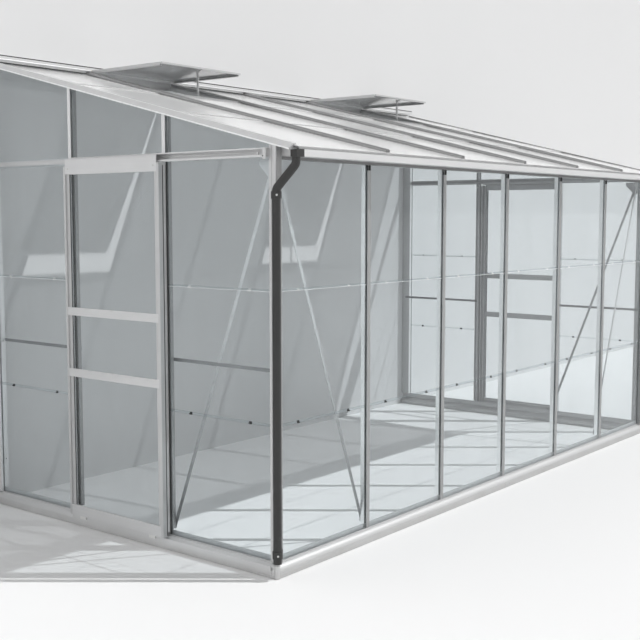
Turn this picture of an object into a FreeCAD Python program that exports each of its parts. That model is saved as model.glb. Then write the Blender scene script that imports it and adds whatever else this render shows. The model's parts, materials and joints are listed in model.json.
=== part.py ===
import FreeCAD, Part
import math
import os
import types
import Sketcher

# Lean-to greenhouse: aluminium frame and glass, six bays long and three deep, with a sliding door in
# each gable and two roof vents. Row frame: +Z up, front towards -Y, house wall towards +Y, X along the
# front, origin on the ground under the middle of the bounding box. Lengths in millimetres, angles in degrees.

FRONT_BAYS = 6
GABLE_BAYS = 3
VENT_BAY_OFFSET = 1.5

SIZES = {
    # main sizes
    "module_pitch": 620,
    "roof_pitch": 13.94,
    "eave_height": 1718,
    "wall_reach": 30,
    "play": 0.3,
    # glass and its laps
    "pane_thickness": 3,
    "lap_length": 10,
    "lap_gap": 1,
    "edge_gap": 2,
    "lap_one_height": 605,
    "lap_two_height": 1145,
    "clip_inset": 140,
    "clip_width": 15,
    "clip_metal": 0.5,
    "clip_hook": 5,
    "seal_thickness": 1.5,
    "seal_width": 4,
    # glazing bar section
    "extrusion_wall": 2.2,
    "bar_nose_width": 20,
    "bar_nose_proud": 4.5,
    "bar_web": 3,
    "bar_seat_width": 28,
    "bar_channel_width": 16,
    "bar_channel_depth": 22,
    "bar_slot": 6,
    # sill section
    "sill_reach": 30,
    "sill_face_height": 30,
    "sill_shoulder": 9,
    "sill_shoulder_height": 53,
    "sill_curve_radius": 34,
    "sill_lip_height": 58,
    "sill_floor_height": 50,
    "sill_upstand_height": 78,
    "sill_inner_reach": 46,
    "sill_inner_height": 24,
    "sill_foot_width": 22,
    "sill_groove_depth": 1.2,
    "sill_groove_width": 2,
    "sill_groove_low": 8,
    "sill_groove_high": 20,
    "foot_radius": 12,
    "foot_proud": 3,
    "foot_height": 53,
    "anchor_hole_radius": 4,
    "splice_length": 90,
    "splice_height": 18,
    "splice_bolt_spacing": 40,
    "splice_bolt_height": 15,
    # posts
    "post_reach": 20,
    "post_leg": 15,
    "post_core": 1.2,
    "post_round": 8,
    "post_groove_width": 3,
    "post_groove_depth": 1.2,
    "wall_post_reach": 12,
    "wall_post_width": 34,
    "wall_post_rebate": 12,
    "wall_hole_radius": 3.5,
    "wall_hole_spacing": 600,
    "wall_hole_low": 220,
    # eave beam, gutter and rain water pipes
    "beam_drop": 54,
    "beam_overhang_drop": 42,
    "beam_reach": 98,
    "beam_rebate": 12,
    "gutter_reach": 127,
    "gutter_drop": 47,
    "gutter_depth": 27,
    "gutter_rim_lip": 5,
    "gutter_wall": 1.8,
    "gutter_end": 22,
    "outlet_wall": 2.5,
    "outlet_inner_end": 21,
    "outlet_x": 8.5,
    "outlet_drop": 14,
    "pipe_radius": 17,
    "pipe_wall": 1.6,
    "pipe_side": 37.5,
    "pipe_front": 37,
    "pipe_low": 68,
    "elbow_upper_drop": 76,
    "elbow_lower_drop": 170,
    "elbow_bend_radius": 30,
    "sleeve_wall": 3.4,
    "sleeve_length": 28,
    "sleeve_upper_drop": 207.5,
    "sleeve_lower": 90.5,
    "sleeve_lug_width": 12,
    "sleeve_lug_height": 20,
    "sleeve_screw_radius": 4,
    "sleeve_screw_height": 2.5,
    # rails in the gables
    "rail_drop": 25,
    "cross_rail_low": 819,
    "cross_rail_height": 15,
    "cross_rail_metal": 2.2,
    # roof
    "bar_overhang": 94,
    "glass_overhang": 106,
    "roof_glass_rise": 20.5,
    "cap_width": 30,
    "cap_edge": 1.5,
    "cap_crown": 12,
    "cap_metal": 2,
    "end_bar_start": 8,
    "end_bar_reach": 20,
    "end_bar_lip": 6,
    "end_bar_rise": 25.3,
    "end_bar_cover": 18,
    "end_bar_groove": 8,
    "end_bar_seat": 14,
    "end_bar_web": 2,
    "roof_bar_tuck": 8,
    "ridge_rise": 17.5,
    "ridge_reach": 40,
    "ridge_height": 115,
    "ridge_back_metal": 3,
    "ridge_overrun": 20,
    "ridge_hole_rise": 20,
    # vents
    "vent_hinge_gap": 7,
    "vent_hinge_rise": 40.5,
    "hinge_bead_radius": 4,
    "hinge_neck": 2,
    "hook_wall": 2.5,
    "hook_gap": 50,
    "vent_side_gap": 2,
    "vent_length": 541,
    "vent_below": 12,
    "vent_above": 5,
    "vent_glass_above": 2,
    "vent_lip": 9,
    "vent_seat": 15,
    "vent_sill_lip": 16,
    "vent_sill_length": 28,
    "vent_sill_leg": 22,
    "vent_sill_tuck": 2,
    "vent_sill_upstand": 11.5,
    "stay_inset": 38,
    "stay_drop": 12,
    "stay_width": 14,
    "stay_metal": 3,
    "stay_length": 292,
    "stay_end": 8,
    "stay_hole_radius": 4,
    "stay_hole_first": 34,
    "stay_hole_spacing": 121,
    "stay_pin_radius": 3,
    "stay_pin_play": 0.05,
    "stay_bracket_metal": 2.5,
    "peg_radius": 3.5,
    "peg_play": 0.5,
    "peg_length": 6,
    # doors
    "door_lap": 16,
    "door_short": 8,
    "door_low": 54,
    "door_outer": 50,
    "door_depth": 26,
    "door_open_front": 34,
    "door_skin": 2,
    "door_face_depth": 9.7,
    "door_glass_depth": 10,
    "door_rebate": 10,
    "door_lip": 2,
    "stile_width": 35,
    "stile_strip": 13,
    "stile_inner_width": 22,
    "bottom_rail_height": 49,
    "middle_rail_height": 36.5,
    "middle_rail_low": 708,
    "middle_rail_high": 991,
    "top_rail_drop": 86.5,
    "top_rail_height": 68.5,
    "top_rail_box": 36,
    "top_rail_lip": 7,
    "track_gap": 4.5,
    "track_height": 36,
    "track_metal": 2,
    "track_rib_height": 8,
    "track_rib_reach": 38,
    "track_cover_reach": 32,
    "track_cover_lip": 4,
    "track_bead_low": 16,
    "track_bead_height": 8,
    "track_bead_proud": 2,
    "track_short": 16,
    "bracket_width": 17,
    "bracket_drop": 8,
    "wheel_tread_radius": 8,
    "wheel_flange_radius": 10.5,
    "wheel_width": 8,
    "wheel_flange_width": 2,
    "wheel_bore_radius": 3.1,
    "wheel_inset": 45,
    "wheel_ride": 0.2,
    "axle_radius": 3.05,
    "axle_head_radius": 5,
    "axle_head_length": 2,
    "stop_length": 12,
    "stop_width": 5.5,
    "stop_height": 18,
    "stop_gap": 0.5,
    "guide_shelf_height": 28,
    "guide_metal": 2,
    "guide_plate_height": 18,
    "guide_fin_reach": 38,
    "guide_fin_gap": 4,
    "guide_start": 2,
    "shoe_length": 40,
    "shoe_inset": 60,
    "shoe_slot_clear": 7,
    "shoe_drop": 16,
    "shoe_leg": 4,
    "shoe_slot_play": 0.9,
    "shoe_side_play": 1.5,
    "door_bolt_radius": 4,
    "door_bolt_head": 2,
    "door_bolt_inset": 33,
    "door_bolt_rise": 25,
    "pane_clip_width": 12,
    "pane_clip_height": 7,
    "pane_clip_metal": 1.2,
    # braces and fixings
    "brace_width": 16,
    "brace_metal": 2.5,
    "brace_start": 50,
    "brace_drop": 42,
    "brace_foot_rise": 8,
    "gusset_size": 75,
    "gusset_metal": 2.2,
    "bolt_radius": 5,
    "bolt_head": 4,
    "bolt_eave_drop": 20,
}


class Size:
    """A number that carries the sheet expression that gives it, so sums of sizes stay bound to the sheet."""

    def __init__(self, text, value):
        self.text = text
        self.value = value

    def join(self, sign, other, value):
        return Size(f"({self.text} {sign} {other.text})", value)

    def __add__(self, other):
        other = as_size(other)
        return self.join("+", other, self.value + other.value)

    def __radd__(self, other):
        return as_size(other) + self

    def __sub__(self, other):
        other = as_size(other)
        return self.join("-", other, self.value - other.value)

    def __rsub__(self, other):
        return as_size(other) - self

    def __mul__(self, other):
        other = as_size(other)
        return self.join("*", other, self.value * other.value)

    def __rmul__(self, other):
        return as_size(other) * self

    def __truediv__(self, other):
        other = as_size(other)
        return self.join("/", other, self.value / other.value)

    def __rtruediv__(self, other):
        return as_size(other) / self

    def __neg__(self):
        return 0 - self


def as_size(number):
    """Turns a plain number into a Size, and leaves a Size alone."""
    return number if isinstance(number, Size) else Size(f"({number})", float(number))


doc = FreeCAD.newDocument("lean_to_greenhouse")
sheet = doc.addObject("Spreadsheet::Sheet", "sizes")
for line, (alias, amount) in enumerate(SIZES.items(), start=1):
    sheet.set(f"A{line}", alias)
    sheet.set(f"B{line}", str(amount))
    sheet.setAlias(f"B{line}", alias)
doc.recompute()
s = types.SimpleNamespace(**{alias: Size(f"sizes.{alias}", float(amount)) for alias, amount in SIZES.items()})

COS = Size("cos(sizes.roof_pitch)", math.cos(math.radians(s.roof_pitch.value)))
SIN = Size("sin(sizes.roof_pitch)", math.sin(math.radians(s.roof_pitch.value)))
TAN = SIN / COS
DEGREES = 180 / math.pi

# places that several pieces share
Vector = FreeCAD.Vector
HALF = s.module_pitch * (FRONT_BAYS / 2)
DEPTH = s.module_pitch * GABLE_BAYS
FRONT = (s.gutter_reach + s.outlet_wall - DEPTH - s.wall_reach) / 2
WALL = FRONT + DEPTH
LAP_STEP = s.pane_thickness + s.lap_gap
SEAT = 2 * s.pane_thickness + s.lap_gap + s.play + s.seal_thickness
INNER_FACE = SEAT + s.extrusion_wall + s.bar_channel_depth
CORE = SEAT + s.post_core
BAR_FOOT = s.sill_lip_height + s.play
BAR_CHANNEL_FOOT = s.sill_upstand_height + s.play
BEAM_LOW = s.eave_height - s.beam_drop
BEAM_OVERHANG_LOW = s.eave_height - s.beam_overhang_drop
BAR_TOP = BEAM_LOW - s.play
RAIL_MIDDLE = s.eave_height - s.rail_drop
GABLE_BAR_TOP = RAIL_MIDDLE - s.bar_nose_width / 2 - s.play
GUTTER_LOW = s.eave_height - s.gutter_drop
GUTTER_RIM = GUTTER_LOW + s.gutter_depth
SPIGOT_RADIUS = s.pipe_radius - s.pipe_wall - s.play
SLEEVE_UPPER = s.eave_height - s.sleeve_upper_drop
ROOF_SEAT = s.roof_glass_rise - SEAT
ROOF_CHANNEL = s.roof_glass_rise - INNER_FACE
CAP_TOP = s.roof_glass_rise + s.play + s.cap_edge + s.cap_crown
SLOPE_FRONT = FRONT - s.bar_overhang
SLOPE_HEIGHT = s.eave_height - TAN * s.bar_overhang
BRACE_FACE = INNER_FACE + s.gusset_metal
GUSSET_TOP = BEAM_LOW - s.play
BRACE_TOP = GUSSET_TOP - s.brace_drop
BRACE_FOOT = s.sill_upstand_height + s.brace_foot_rise
ANCHOR_LINE = s.sill_inner_reach - s.sill_foot_width / 2
DOOR_FRONT = s.module_pitch - s.door_lap
DOOR_BACK = 2 * s.module_pitch - s.door_short
TOP_RAIL_LOW = s.eave_height - s.top_rail_drop
TRACK_LOW = TOP_RAIL_LOW + s.top_rail_box + s.track_gap
TRACK_HIGH = TRACK_LOW + s.track_height
GUIDE_FIN_TOP = s.door_low - s.guide_fin_gap
NODES = []


def line_height(front, rise):
    """Height of the line that lies a perpendicular rise above the roof's base line, at a distance behind the front."""
    return s.eave_height + TAN * front + rise / COS


RIDGE_FRONT = DEPTH + s.wall_reach - s.ridge_reach
RIDGE_TOP = line_height(DEPTH + s.wall_reach, CAP_TOP) + s.ridge_rise
RIDGE_LOW = RIDGE_TOP - s.ridge_height
VENT_HINGE_FRONT = RIDGE_FRONT - s.vent_hinge_gap
VENT_HINGE_HEIGHT = line_height(VENT_HINGE_FRONT, 0) + s.vent_hinge_rise
VENT_SILL_FRONT = VENT_HINGE_FRONT - s.vent_length
STAY_FRONT = VENT_SILL_FRONT + s.stay_inset


def gable_x(side, inward):
    """X of a plane that lies inward of one gable's glass."""
    return side * (HALF - inward)


def origin_feature(body, role):
    return next(item for item in body.Origin.OriginFeatures if item.Role == role)


def new_body(name, on_slope=False):
    body = doc.addObject("PartDesign::Body", name)
    if on_slope:
        tilt(body, (0, SLOPE_FRONT, SLOPE_HEIGHT), Vector(1, 0, 0), s.roof_pitch)
    return body


def tilt(item, base, axis=None, angle=None):
    """Binds an object's place, and its turn about one axis, to the sheet."""
    if angle is not None:
        angle = as_size(angle)
        item.Placement = FreeCAD.Placement(Vector(), FreeCAD.Rotation(axis, angle.value or 1))
        item.setExpression("Placement.Rotation.Angle", angle.text)
    for letter, amount in zip("xyz", base):
        item.setExpression(f"Placement.Base.{letter}", as_size(amount).text)


def arc_middle(start, end, radius, bulge):
    """Middle point of an arc of this radius between two points, bulging to the left of the way for +1."""
    chord = end - start
    reach = radius - math.sqrt(radius ** 2 - (chord.Length / 2) ** 2)
    left = Vector(-chord.y, chord.x, 0).normalize()
    return (start + end) * 0.5 + left * (reach * bulge)


def draw_loop(sketch, points):
    """Adds one closed outline. A point is (x, y), or (x, y, radius, bulge) where an arc leads to it."""
    spots = [Vector(as_size(point[0]).value, as_size(point[1]).value, 0) for point in points]
    first = sketch.GeometryCount
    count = len(points)
    for index in range(count):
        ahead = (index + 1) % count
        edge = Part.LineSegment(spots[index], spots[ahead])
        if len(points[ahead]) > 2:
            radius, bulge = points[ahead][2:]
            edge = Part.Arc(spots[index], arc_middle(spots[index], spots[ahead], radius.value, bulge), spots[ahead])
        sketch.addGeometry(edge, False)

    def vertex(edge, spot):
        return 1 if (sketch.getPoint(edge, 1) - spot).Length < 1e-6 else 2

    constraints = []
    bound = []

    def bind(constraint, amount):
        bound.append((sketch.ConstraintCount + len(constraints), as_size(amount).text))
        constraints.append(constraint)

    for index in range(count):
        edge = first + index
        ahead = first + (index + 1) % count
        joint = spots[(index + 1) % count]
        constraints.append(Sketcher.Constraint("Coincident", edge, vertex(edge, joint), ahead, vertex(ahead, joint)))
    for index in range(count):
        edge = first + index
        corner = vertex(edge, spots[index])
        x, y = spots[index].x, spots[index].y
        bind(Sketcher.Constraint("DistanceX", -1, 1, edge, corner, x), points[index][0])
        bind(Sketcher.Constraint("DistanceY", -1, 1, edge, corner, y), points[index][1])
        ahead = points[(index + 1) % count]
        if len(ahead) > 2:
            bind(Sketcher.Constraint("Radius", edge, ahead[2].value), ahead[2])
    sketch.addConstraint(constraints)
    for place, text in bound:
        sketch.setExpression(f"Constraints[{place}]", text)


def draw_circle(sketch, centre, radius):
    """Adds one circle, bound to its centre and radius."""
    x, y, radius = [as_size(item) for item in (*centre, radius)]
    edge = sketch.addGeometry(Part.Circle(Vector(x.value, y.value, 0), Vector(0, 0, 1), radius.value), False)
    first = sketch.ConstraintCount
    sketch.addConstraint([
        Sketcher.Constraint("DistanceX", -1, 1, edge, 3, x.value),
        Sketcher.Constraint("DistanceY", -1, 1, edge, 3, y.value),
        Sketcher.Constraint("Radius", edge, radius.value),
    ])
    for place, amount in enumerate((x, y, radius)):
        sketch.setExpression(f"Constraints[{first + place}]", amount.text)


def sketch_on(body, plane, start=0, loops=(), circles=()):
    """A sketch on one of the body's own planes, moved along the positive axis to start."""
    sketch = body.newObject("Sketcher::SketchObject", f"{body.Name}_outline")
    sketch.AttachmentSupport = (origin_feature(body, f"{plane}_Plane"), [""])
    sketch.MapMode = "FlatFace"
    offset = -as_size(start) if plane == "XZ" else as_size(start)
    sketch.setExpression("AttachmentOffset.Base.z", offset.text)
    for points in loops:
        draw_loop(sketch, points)
    for centre, radius in circles:
        draw_circle(sketch, centre, radius)
    return sketch


def pad(body, plane, start, end, loops=(), circles=()):
    """Extrudes loops or circles along the plane's positive axis from start to end."""
    sketch = sketch_on(body, plane, start, loops, circles)
    feature = body.newObject("PartDesign::Pad", f"{body.Name}_pad")
    feature.Profile = sketch
    feature.Reversed = plane == "XZ"
    feature.setExpression("Length", (as_size(end) - as_size(start)).text)
    return feature


def pocket(body, plane, start, end, loops=(), circles=()):
    """Cuts loops or circles out of the body between start and end along the plane's positive axis."""
    doc.recompute()
    before = body.Shape.Volume
    sketch = sketch_on(body, plane, start, loops, circles)
    feature = body.newObject("PartDesign::Pocket", f"{body.Name}_pocket")
    feature.Profile = sketch
    feature.Reversed = plane != "XZ"
    feature.setExpression("Length", (as_size(end) - as_size(start)).text)
    doc.recompute()
    if not body.Shape.Volume < before:
        raise RuntimeError(f"a pocket of {body.Name} removed nothing")
    return feature


def pattern(body, originals, axis, pitch, count):
    """Repeats features of the body along one of its axes."""
    feature = body.newObject("PartDesign::LinearPattern", f"{body.Name}_row")
    feature.Originals = originals
    feature.Direction = (origin_feature(body, f"{axis}_Axis"), [""])
    feature.Occurrences = count
    feature.setExpression("Length", (pitch * (count - 1)).text)
    body.Tip = feature
    return feature


def box(name, base, lengths, axis=None, angle=None):
    item = doc.addObject("Part::Box", name)
    for prop, amount in zip(("Length", "Width", "Height"), lengths):
        item.setExpression(prop, as_size(amount).text)
    tilt(item, base, axis, angle)
    return item


def cylinder(name, base, radius, length, axis=None, angle=None):
    item = doc.addObject("Part::Cylinder", name)
    item.setExpression("Radius", as_size(radius).text)
    item.setExpression("Height", as_size(length).text)
    tilt(item, base, axis, angle)
    return item


def cut(name, base, tool):
    item = doc.addObject("Part::Cut", name)
    item.Base = base
    item.Tool = tool
    return item


def fuse(name, items):
    item = doc.addObject("Part::MultiFuse", name)
    item.Shapes = items
    return item


def keep(item, label=None):
    """Names the file of a sub-part and lists it for the export."""
    item.Label = label or item.Name
    NODES.append(item)
    return item


def group(label, items):
    """Like pieces that share one file, as separate solids."""
    item = doc.addObject("Part::Compound", label)
    item.Links = items
    return keep(item, label)


def across(points, place):
    """Maps the points of an outline to the sketch, keeping their arcs."""
    return [(*place(*point[:2]), *point[2:]) for point in points]


def mirrored(points):
    """The other half of an outline that is the same on both sides of its middle line."""
    return points + [(-x, y) for x, y in reversed(points)]


def bar_outline(seat_width, nose=True):
    """Section of a glazing bar as (across, inward): nose, web, glass seat and bolt channel with its slot."""
    nose_half = s.bar_nose_width / 2 if nose else s.bar_web / 2
    outer = -s.bar_nose_proud if nose else -(s.play + s.cap_edge)
    channel = s.bar_channel_width / 2
    wall = s.extrusion_wall
    half = [
        (nose_half, outer),
        (nose_half, -s.play),
        (s.bar_web / 2, -s.play),
        (s.bar_web / 2, SEAT),
        (seat_width / 2, SEAT),
        (seat_width / 2, SEAT + wall),
        (channel, SEAT + wall),
        (channel, INNER_FACE),
        (s.bar_slot / 2, INNER_FACE),
        (s.bar_slot / 2, INNER_FACE - wall),
        (channel - wall, INNER_FACE - wall),
        (channel - wall, SEAT + wall),
    ]
    if not nose:
        del half[1:3]
    return mirrored(half)


def bar_foot_outline():
    """Section of a bar's lower end, where only its nose and web run down to the sill."""
    nose_half = s.bar_nose_width / 2
    return mirrored([
        (nose_half, -s.bar_nose_proud),
        (nose_half, -s.play),
        (s.bar_web / 2, -s.play),
        (s.bar_web / 2, SEAT),
    ])


def sill_outline():
    """Section of the sill as (inward, height): grooved face, curved top, lip, glass rebate, upstand and feet."""
    wall = s.extrusion_wall
    face = -s.sill_reach
    groove = face + s.sill_groove_depth
    upstand = SEAT + s.play
    inner_radius = s.sill_curve_radius - wall
    points = [(face, as_size(0))]
    for low in (s.sill_groove_low, s.sill_groove_high):
        high = low + s.sill_groove_width
        points += [(face, low), (groove, low), (groove, high), (face, high)]
    return points + [
        (face, s.sill_face_height),
        (-s.sill_shoulder, s.sill_shoulder_height, s.sill_curve_radius, 1),
        (-s.bar_nose_proud, s.sill_shoulder_height),
        (-s.bar_nose_proud, s.sill_lip_height),
        (-s.play, s.sill_lip_height),
        (-s.play, s.sill_floor_height),
        (upstand, s.sill_floor_height),
        (upstand, s.sill_upstand_height),
        (upstand + wall, s.sill_upstand_height),
        (upstand + wall, s.sill_floor_height - wall),
        (s.sill_inner_reach, s.sill_inner_height),
        (s.sill_inner_reach, as_size(0)),
        (s.sill_inner_reach - s.sill_foot_width, as_size(0)),
        (s.sill_inner_reach - s.sill_foot_width, wall),
        (s.sill_inner_reach - wall, wall),
        (s.sill_inner_reach - wall, s.sill_inner_height - wall),
        (upstand, s.sill_floor_height - 2 * wall),
        (-s.sill_shoulder, s.sill_floor_height - wall),
        (face + wall + s.sill_groove_depth, s.sill_face_height, inner_radius, -1),
        (face + wall + s.sill_groove_depth, wall),
        (face + s.sill_foot_width, wall),
        (face + s.sill_foot_width, as_size(0)),
    ]


def sill_corner_cuts(body, side, front_piece):
    """Mitres a sill at the corner and clears the round corner foot."""
    over = s.sill_reach + s.play
    inner = s.sill_inner_reach + s.play
    top = s.sill_upstand_height + s.play
    corner = (gable_x(side, -over), FRONT - over)
    inside = (gable_x(side, inner), FRONT + inner)
    third = (gable_x(side, -over), FRONT + inner) if front_piece else (gable_x(side, inner), FRONT - over)
    pocket(body, "XY", 0, top, loops=[[corner, inside, third]])
    foot = foot_centre(side)
    pocket(body, "XY", 0, top, loops=[[corner, (foot[0], corner[1]), foot, (corner[0], foot[1])]])
    pocket(body, "XY", 0, top, circles=[(foot, s.foot_radius + s.play)])


def foot_centre(side):
    inset = s.sill_reach + s.foot_proud - s.foot_radius
    return gable_x(side, -inset), FRONT - inset


def drill_anchor_holes(body, spots):
    """Holes through a sill's inner foot flange, one under each bay."""
    circles = [(spot, s.anchor_hole_radius) for spot in spots]
    pocket(body, "XY", -s.play, s.extrusion_wall + s.play, circles=circles)


def make_sills():
    """Front sill in two lengths, one sill under each gable, the splice and the round corner feet."""
    for side, name in ((-1, "left"), (1, "right")):
        body = new_body(f"sill_front_{name}")
        ends = sorted((side * (HALF + s.sill_reach), as_size(0)), key=lambda end: end.value)
        pad(body, "YZ", *ends, loops=[across(sill_outline(), lambda inward, up: (FRONT + inward, up))])
        sill_corner_cuts(body, side, True)
        spots = [(side * (bay + 0.5) * s.module_pitch, FRONT + ANCHOR_LINE) for bay in range(FRONT_BAYS // 2)]
        drill_anchor_holes(body, spots)
        keep(body)
        body = new_body(f"sill_gable_{name}")
        points = across(sill_outline(), lambda inward, up: (gable_x(side, inward), up))
        points = [point if len(point) < 3 else (*point[:3], -side * point[3]) for point in points]
        pad(body, "XZ", FRONT - s.sill_reach, WALL + s.wall_reach, loops=[points])
        sill_corner_cuts(body, side, False)
        spots = [(gable_x(side, ANCHOR_LINE), FRONT + (bay + 0.5) * s.module_pitch) for bay in range(GABLE_BAYS)]
        drill_anchor_holes(body, spots)
        keep(body)
    feet = []
    for side, name in ((-1, "left"), (1, "right")):
        body = new_body(f"corner_foot_{name}")
        pad(body, "XY", 0, s.foot_height, circles=[(foot_centre(side), s.foot_radius)])
        feet.append(body)
    group("corner_feet", feet)
    plate_back = FRONT - s.sill_reach + s.extrusion_wall + s.sill_groove_depth
    plate_low = s.splice_bolt_height - s.splice_height / 2
    pieces = [box("splice_plate", (-s.splice_length / 2, plate_back, plate_low),
                  (s.splice_length, s.extrusion_wall, s.splice_height))]
    for side in (-1, 1):
        place = (side * s.splice_bolt_spacing / 2, FRONT - s.sill_reach, s.splice_bolt_height)
        pieces.append(cylinder("splice_bolt", place, s.bolt_radius, s.bolt_head / 2, Vector(1, 0, 0), 90))
    group("sill_splice", pieces)


def corner_post_loops(side):
    """Section of a corner post: an L of hollow legs outside the glass, its core, and a box inside."""
    reach, leg, wall, core = -s.post_reach, s.post_leg, s.extrusion_wall, CORE
    edge = -s.play
    middle = (leg + reach + s.post_round - s.post_groove_width) / 2
    groove = reach + s.post_groove_depth
    outer = [
        (leg, reach),
        (leg, edge),
        (core, edge),
        (core, SEAT),
        (INNER_FACE, SEAT),
        (INNER_FACE, INNER_FACE),
        (SEAT, INNER_FACE),
        (SEAT, core),
        (edge, core),
        (edge, leg),
        (reach, leg),
        (reach, middle + s.post_groove_width),
        (groove, middle + s.post_groove_width),
        (groove, middle),
        (reach, middle),
        (reach, reach + s.post_round),
        (reach + s.post_round, reach, s.post_round, side),
        (middle, reach),
        (middle, groove),
        (middle + s.post_groove_width, groove),
        (middle + s.post_groove_width, reach),
    ]
    low, high, near = reach + wall + s.post_groove_depth, edge - wall, leg - wall
    hollow = [(low, low), (near, low), (near, high), (high, high), (high, near), (low, near)]
    near, far = SEAT + wall, INNER_FACE - wall
    inside = [(near, near), (far, near), (far, far), (near, far)]

    def place(inward, back):
        return gable_x(side, inward), FRONT + back

    foot = outer[:4] + [(SEAT, SEAT)] + outer[7:]
    return [across(loop, place) for loop in (outer, hollow, inside)], [across(loop, place) for loop in (foot, hollow)]


def cut_under_roof(body, side, front, back, rise, reach_in):
    """Cuts a gable piece off along the slope under the roof's end bar."""
    top = RIDGE_TOP
    loop = [
        (FRONT + front, line_height(front, rise)),
        (FRONT + back, line_height(back, rise)),
        (FRONT + back, top),
        (FRONT + front, top),
    ]
    ends = sorted((gable_x(side, -s.end_bar_reach - s.play), gable_x(side, reach_in)), key=lambda end: end.value)
    pocket(body, "YZ", *ends, loops=[loop])


def wall_post_loops(side):
    """Section of a wall post: a hollow post against the house wall, with a rebate for the gable's glass."""
    reach, width, wall = -s.wall_post_reach, -s.wall_post_width, s.extrusion_wall
    rebate = width + s.wall_post_rebate
    back = s.wall_reach
    outer = [(reach, width), (-s.play, width), (-s.play, rebate), (SEAT, rebate), (SEAT, width),
             (INNER_FACE, width), (INNER_FACE, back), (reach, back)]
    low, high = reach + wall, back - wall
    hollow = [(low, width + wall), (-s.play - wall, width + wall), (-s.play - wall, rebate + wall),
              (SEAT + wall, rebate + wall), (SEAT + wall, width + wall), (INNER_FACE - wall, width + wall),
              (INNER_FACE - wall, high), (low, high)]
    foot = outer[:3] + [(SEAT, rebate), (SEAT, back)] + outer[7:]
    foot_hollow = hollow[:3] + [(SEAT - wall, rebate + wall), (SEAT - wall, high), (low, high)]

    def place(inward, behind):
        return gable_x(side, inward), WALL + behind

    return [across(loop, place) for loop in (outer, hollow)], [across(loop, place) for loop in (foot, foot_hollow)]


def make_posts():
    """Corner posts, and wall posts with the holes that fix them to the house wall."""
    margin = s.post_reach + s.play
    for side, name in ((-1, "left"), (1, "right")):
        body = new_body(f"corner_post_{name}")
        whole, foot = corner_post_loops(side)
        pad(body, "XY", BAR_CHANNEL_FOOT, line_height(INNER_FACE, 0), loops=whole)
        pad(body, "XY", BAR_FOOT, BAR_CHANNEL_FOOT, loops=foot)
        cut_under_roof(body, side, -margin, INNER_FACE + margin, -s.play, INNER_FACE + s.play)
        keep(body)
    posts = []
    for side, name in ((-1, "left"), (1, "right")):
        body = new_body(f"wall_post_{name}")
        whole, foot = wall_post_loops(side)
        top = line_height(DEPTH + s.wall_reach, 0)
        pad(body, "XY", BAR_CHANNEL_FOOT, top, loops=whole)
        pad(body, "XY", BAR_FOOT, BAR_CHANNEL_FOOT, loops=foot)
        cut_under_roof(body, side, DEPTH - s.wall_post_width - margin, DEPTH + s.wall_reach + margin, -s.play,
                       INNER_FACE + s.play)
        across_wall = gable_x(side, (SEAT + INNER_FACE) / 2)
        holes = [((across_wall, s.wall_hole_low + step * s.wall_hole_spacing), s.wall_hole_radius)
                 for step in range(GABLE_BAYS + 1)]
        pocket(body, "XZ", WALL - s.wall_post_width - s.play, WALL + s.wall_reach + s.play, circles=holes)
        posts.append(body)
    group("wall_posts", posts)


def make_wall_bars():
    """Glazing bars of the front and of both gables."""
    body = new_body("front_bars")
    first = -(FRONT_BAYS / 2 - 1) * s.module_pitch

    def in_front(over, inward):
        return first + over, FRONT + inward

    whole = pad(body, "XY", BAR_CHANNEL_FOOT, BAR_TOP, loops=[across(bar_outline(s.bar_seat_width), in_front)])
    foot = pad(body, "XY", BAR_FOOT, BAR_CHANNEL_FOOT, loops=[across(bar_foot_outline(), in_front)])
    pattern(body, [whole, foot], "X", s.module_pitch, FRONT_BAYS - 1)
    keep(body)
    low_bars, high_bars = [], []
    for side, name in ((-1, "left"), (1, "right")):

        def in_gable(over, inward):
            return gable_x(side, inward), FRONT + s.module_pitch + over

        body = new_body(f"gable_bars_{name}")
        outline = across(bar_outline(s.bar_seat_width), in_gable)
        whole = pad(body, "XY", BAR_CHANNEL_FOOT, GABLE_BAR_TOP, loops=[outline])
        foot = pad(body, "XY", BAR_FOOT, BAR_CHANNEL_FOOT, loops=[across(bar_foot_outline(), in_gable)])
        pattern(body, [whole, foot], "Y", s.module_pitch, GABLE_BAYS - 1)
        low_bars.append(body)
        body = new_body(f"gable_upper_bars_{name}")
        low = RAIL_MIDDLE + s.bar_nose_width / 2 + s.play
        back = (GABLE_BAYS - 1) * s.module_pitch + s.bar_seat_width
        tall = pad(body, "XY", low, line_height(back, 0), loops=[outline])
        pattern(body, [tall], "Y", s.module_pitch, GABLE_BAYS - 1)
        cut_under_roof(body, side, s.module_pitch - s.bar_seat_width, back, -s.play, INNER_FACE + s.play)
        high_bars.append(body)
    group("gable_bars", low_bars)
    group("gable_upper_bars", high_bars)


def make_gable_rails():
    """Rail at eave height in each gable, and the flat cross rails inside the bays without a door."""
    start = FRONT + INNER_FACE + s.play
    end = WALL - s.wall_post_width - s.play
    rails = []
    for side, name in ((-1, "left"), (1, "right")):

        def in_rail(over, inward):
            return gable_x(side, inward), RAIL_MIDDLE + over

        body = new_body(f"gable_eave_rail_{name}")
        pad(body, "XZ", start, end, loops=[across(bar_outline(s.bar_nose_width), in_rail)])
        pad(body, "XZ", FRONT + s.post_leg + s.play, start, loops=[across(bar_foot_outline(), in_rail)])
        rails.append(body)
    group("gable_eave_rails", rails)
    rails = []
    half = s.bar_channel_width / 2
    spans = ((FRONT + SEAT, FRONT + s.module_pitch + half), (FRONT + 2 * s.module_pitch - half, WALL - s.play))
    for side in (-1, 1):
        for near, far in spans:
            x = gable_x(side, INNER_FACE + (0 if side < 0 else s.cross_rail_metal))
            rails.append(box("cross_rail", (x, near, s.cross_rail_low),
                             (s.cross_rail_metal, far - near, s.cross_rail_height)))
    group("gable_cross_rails", rails)


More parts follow.
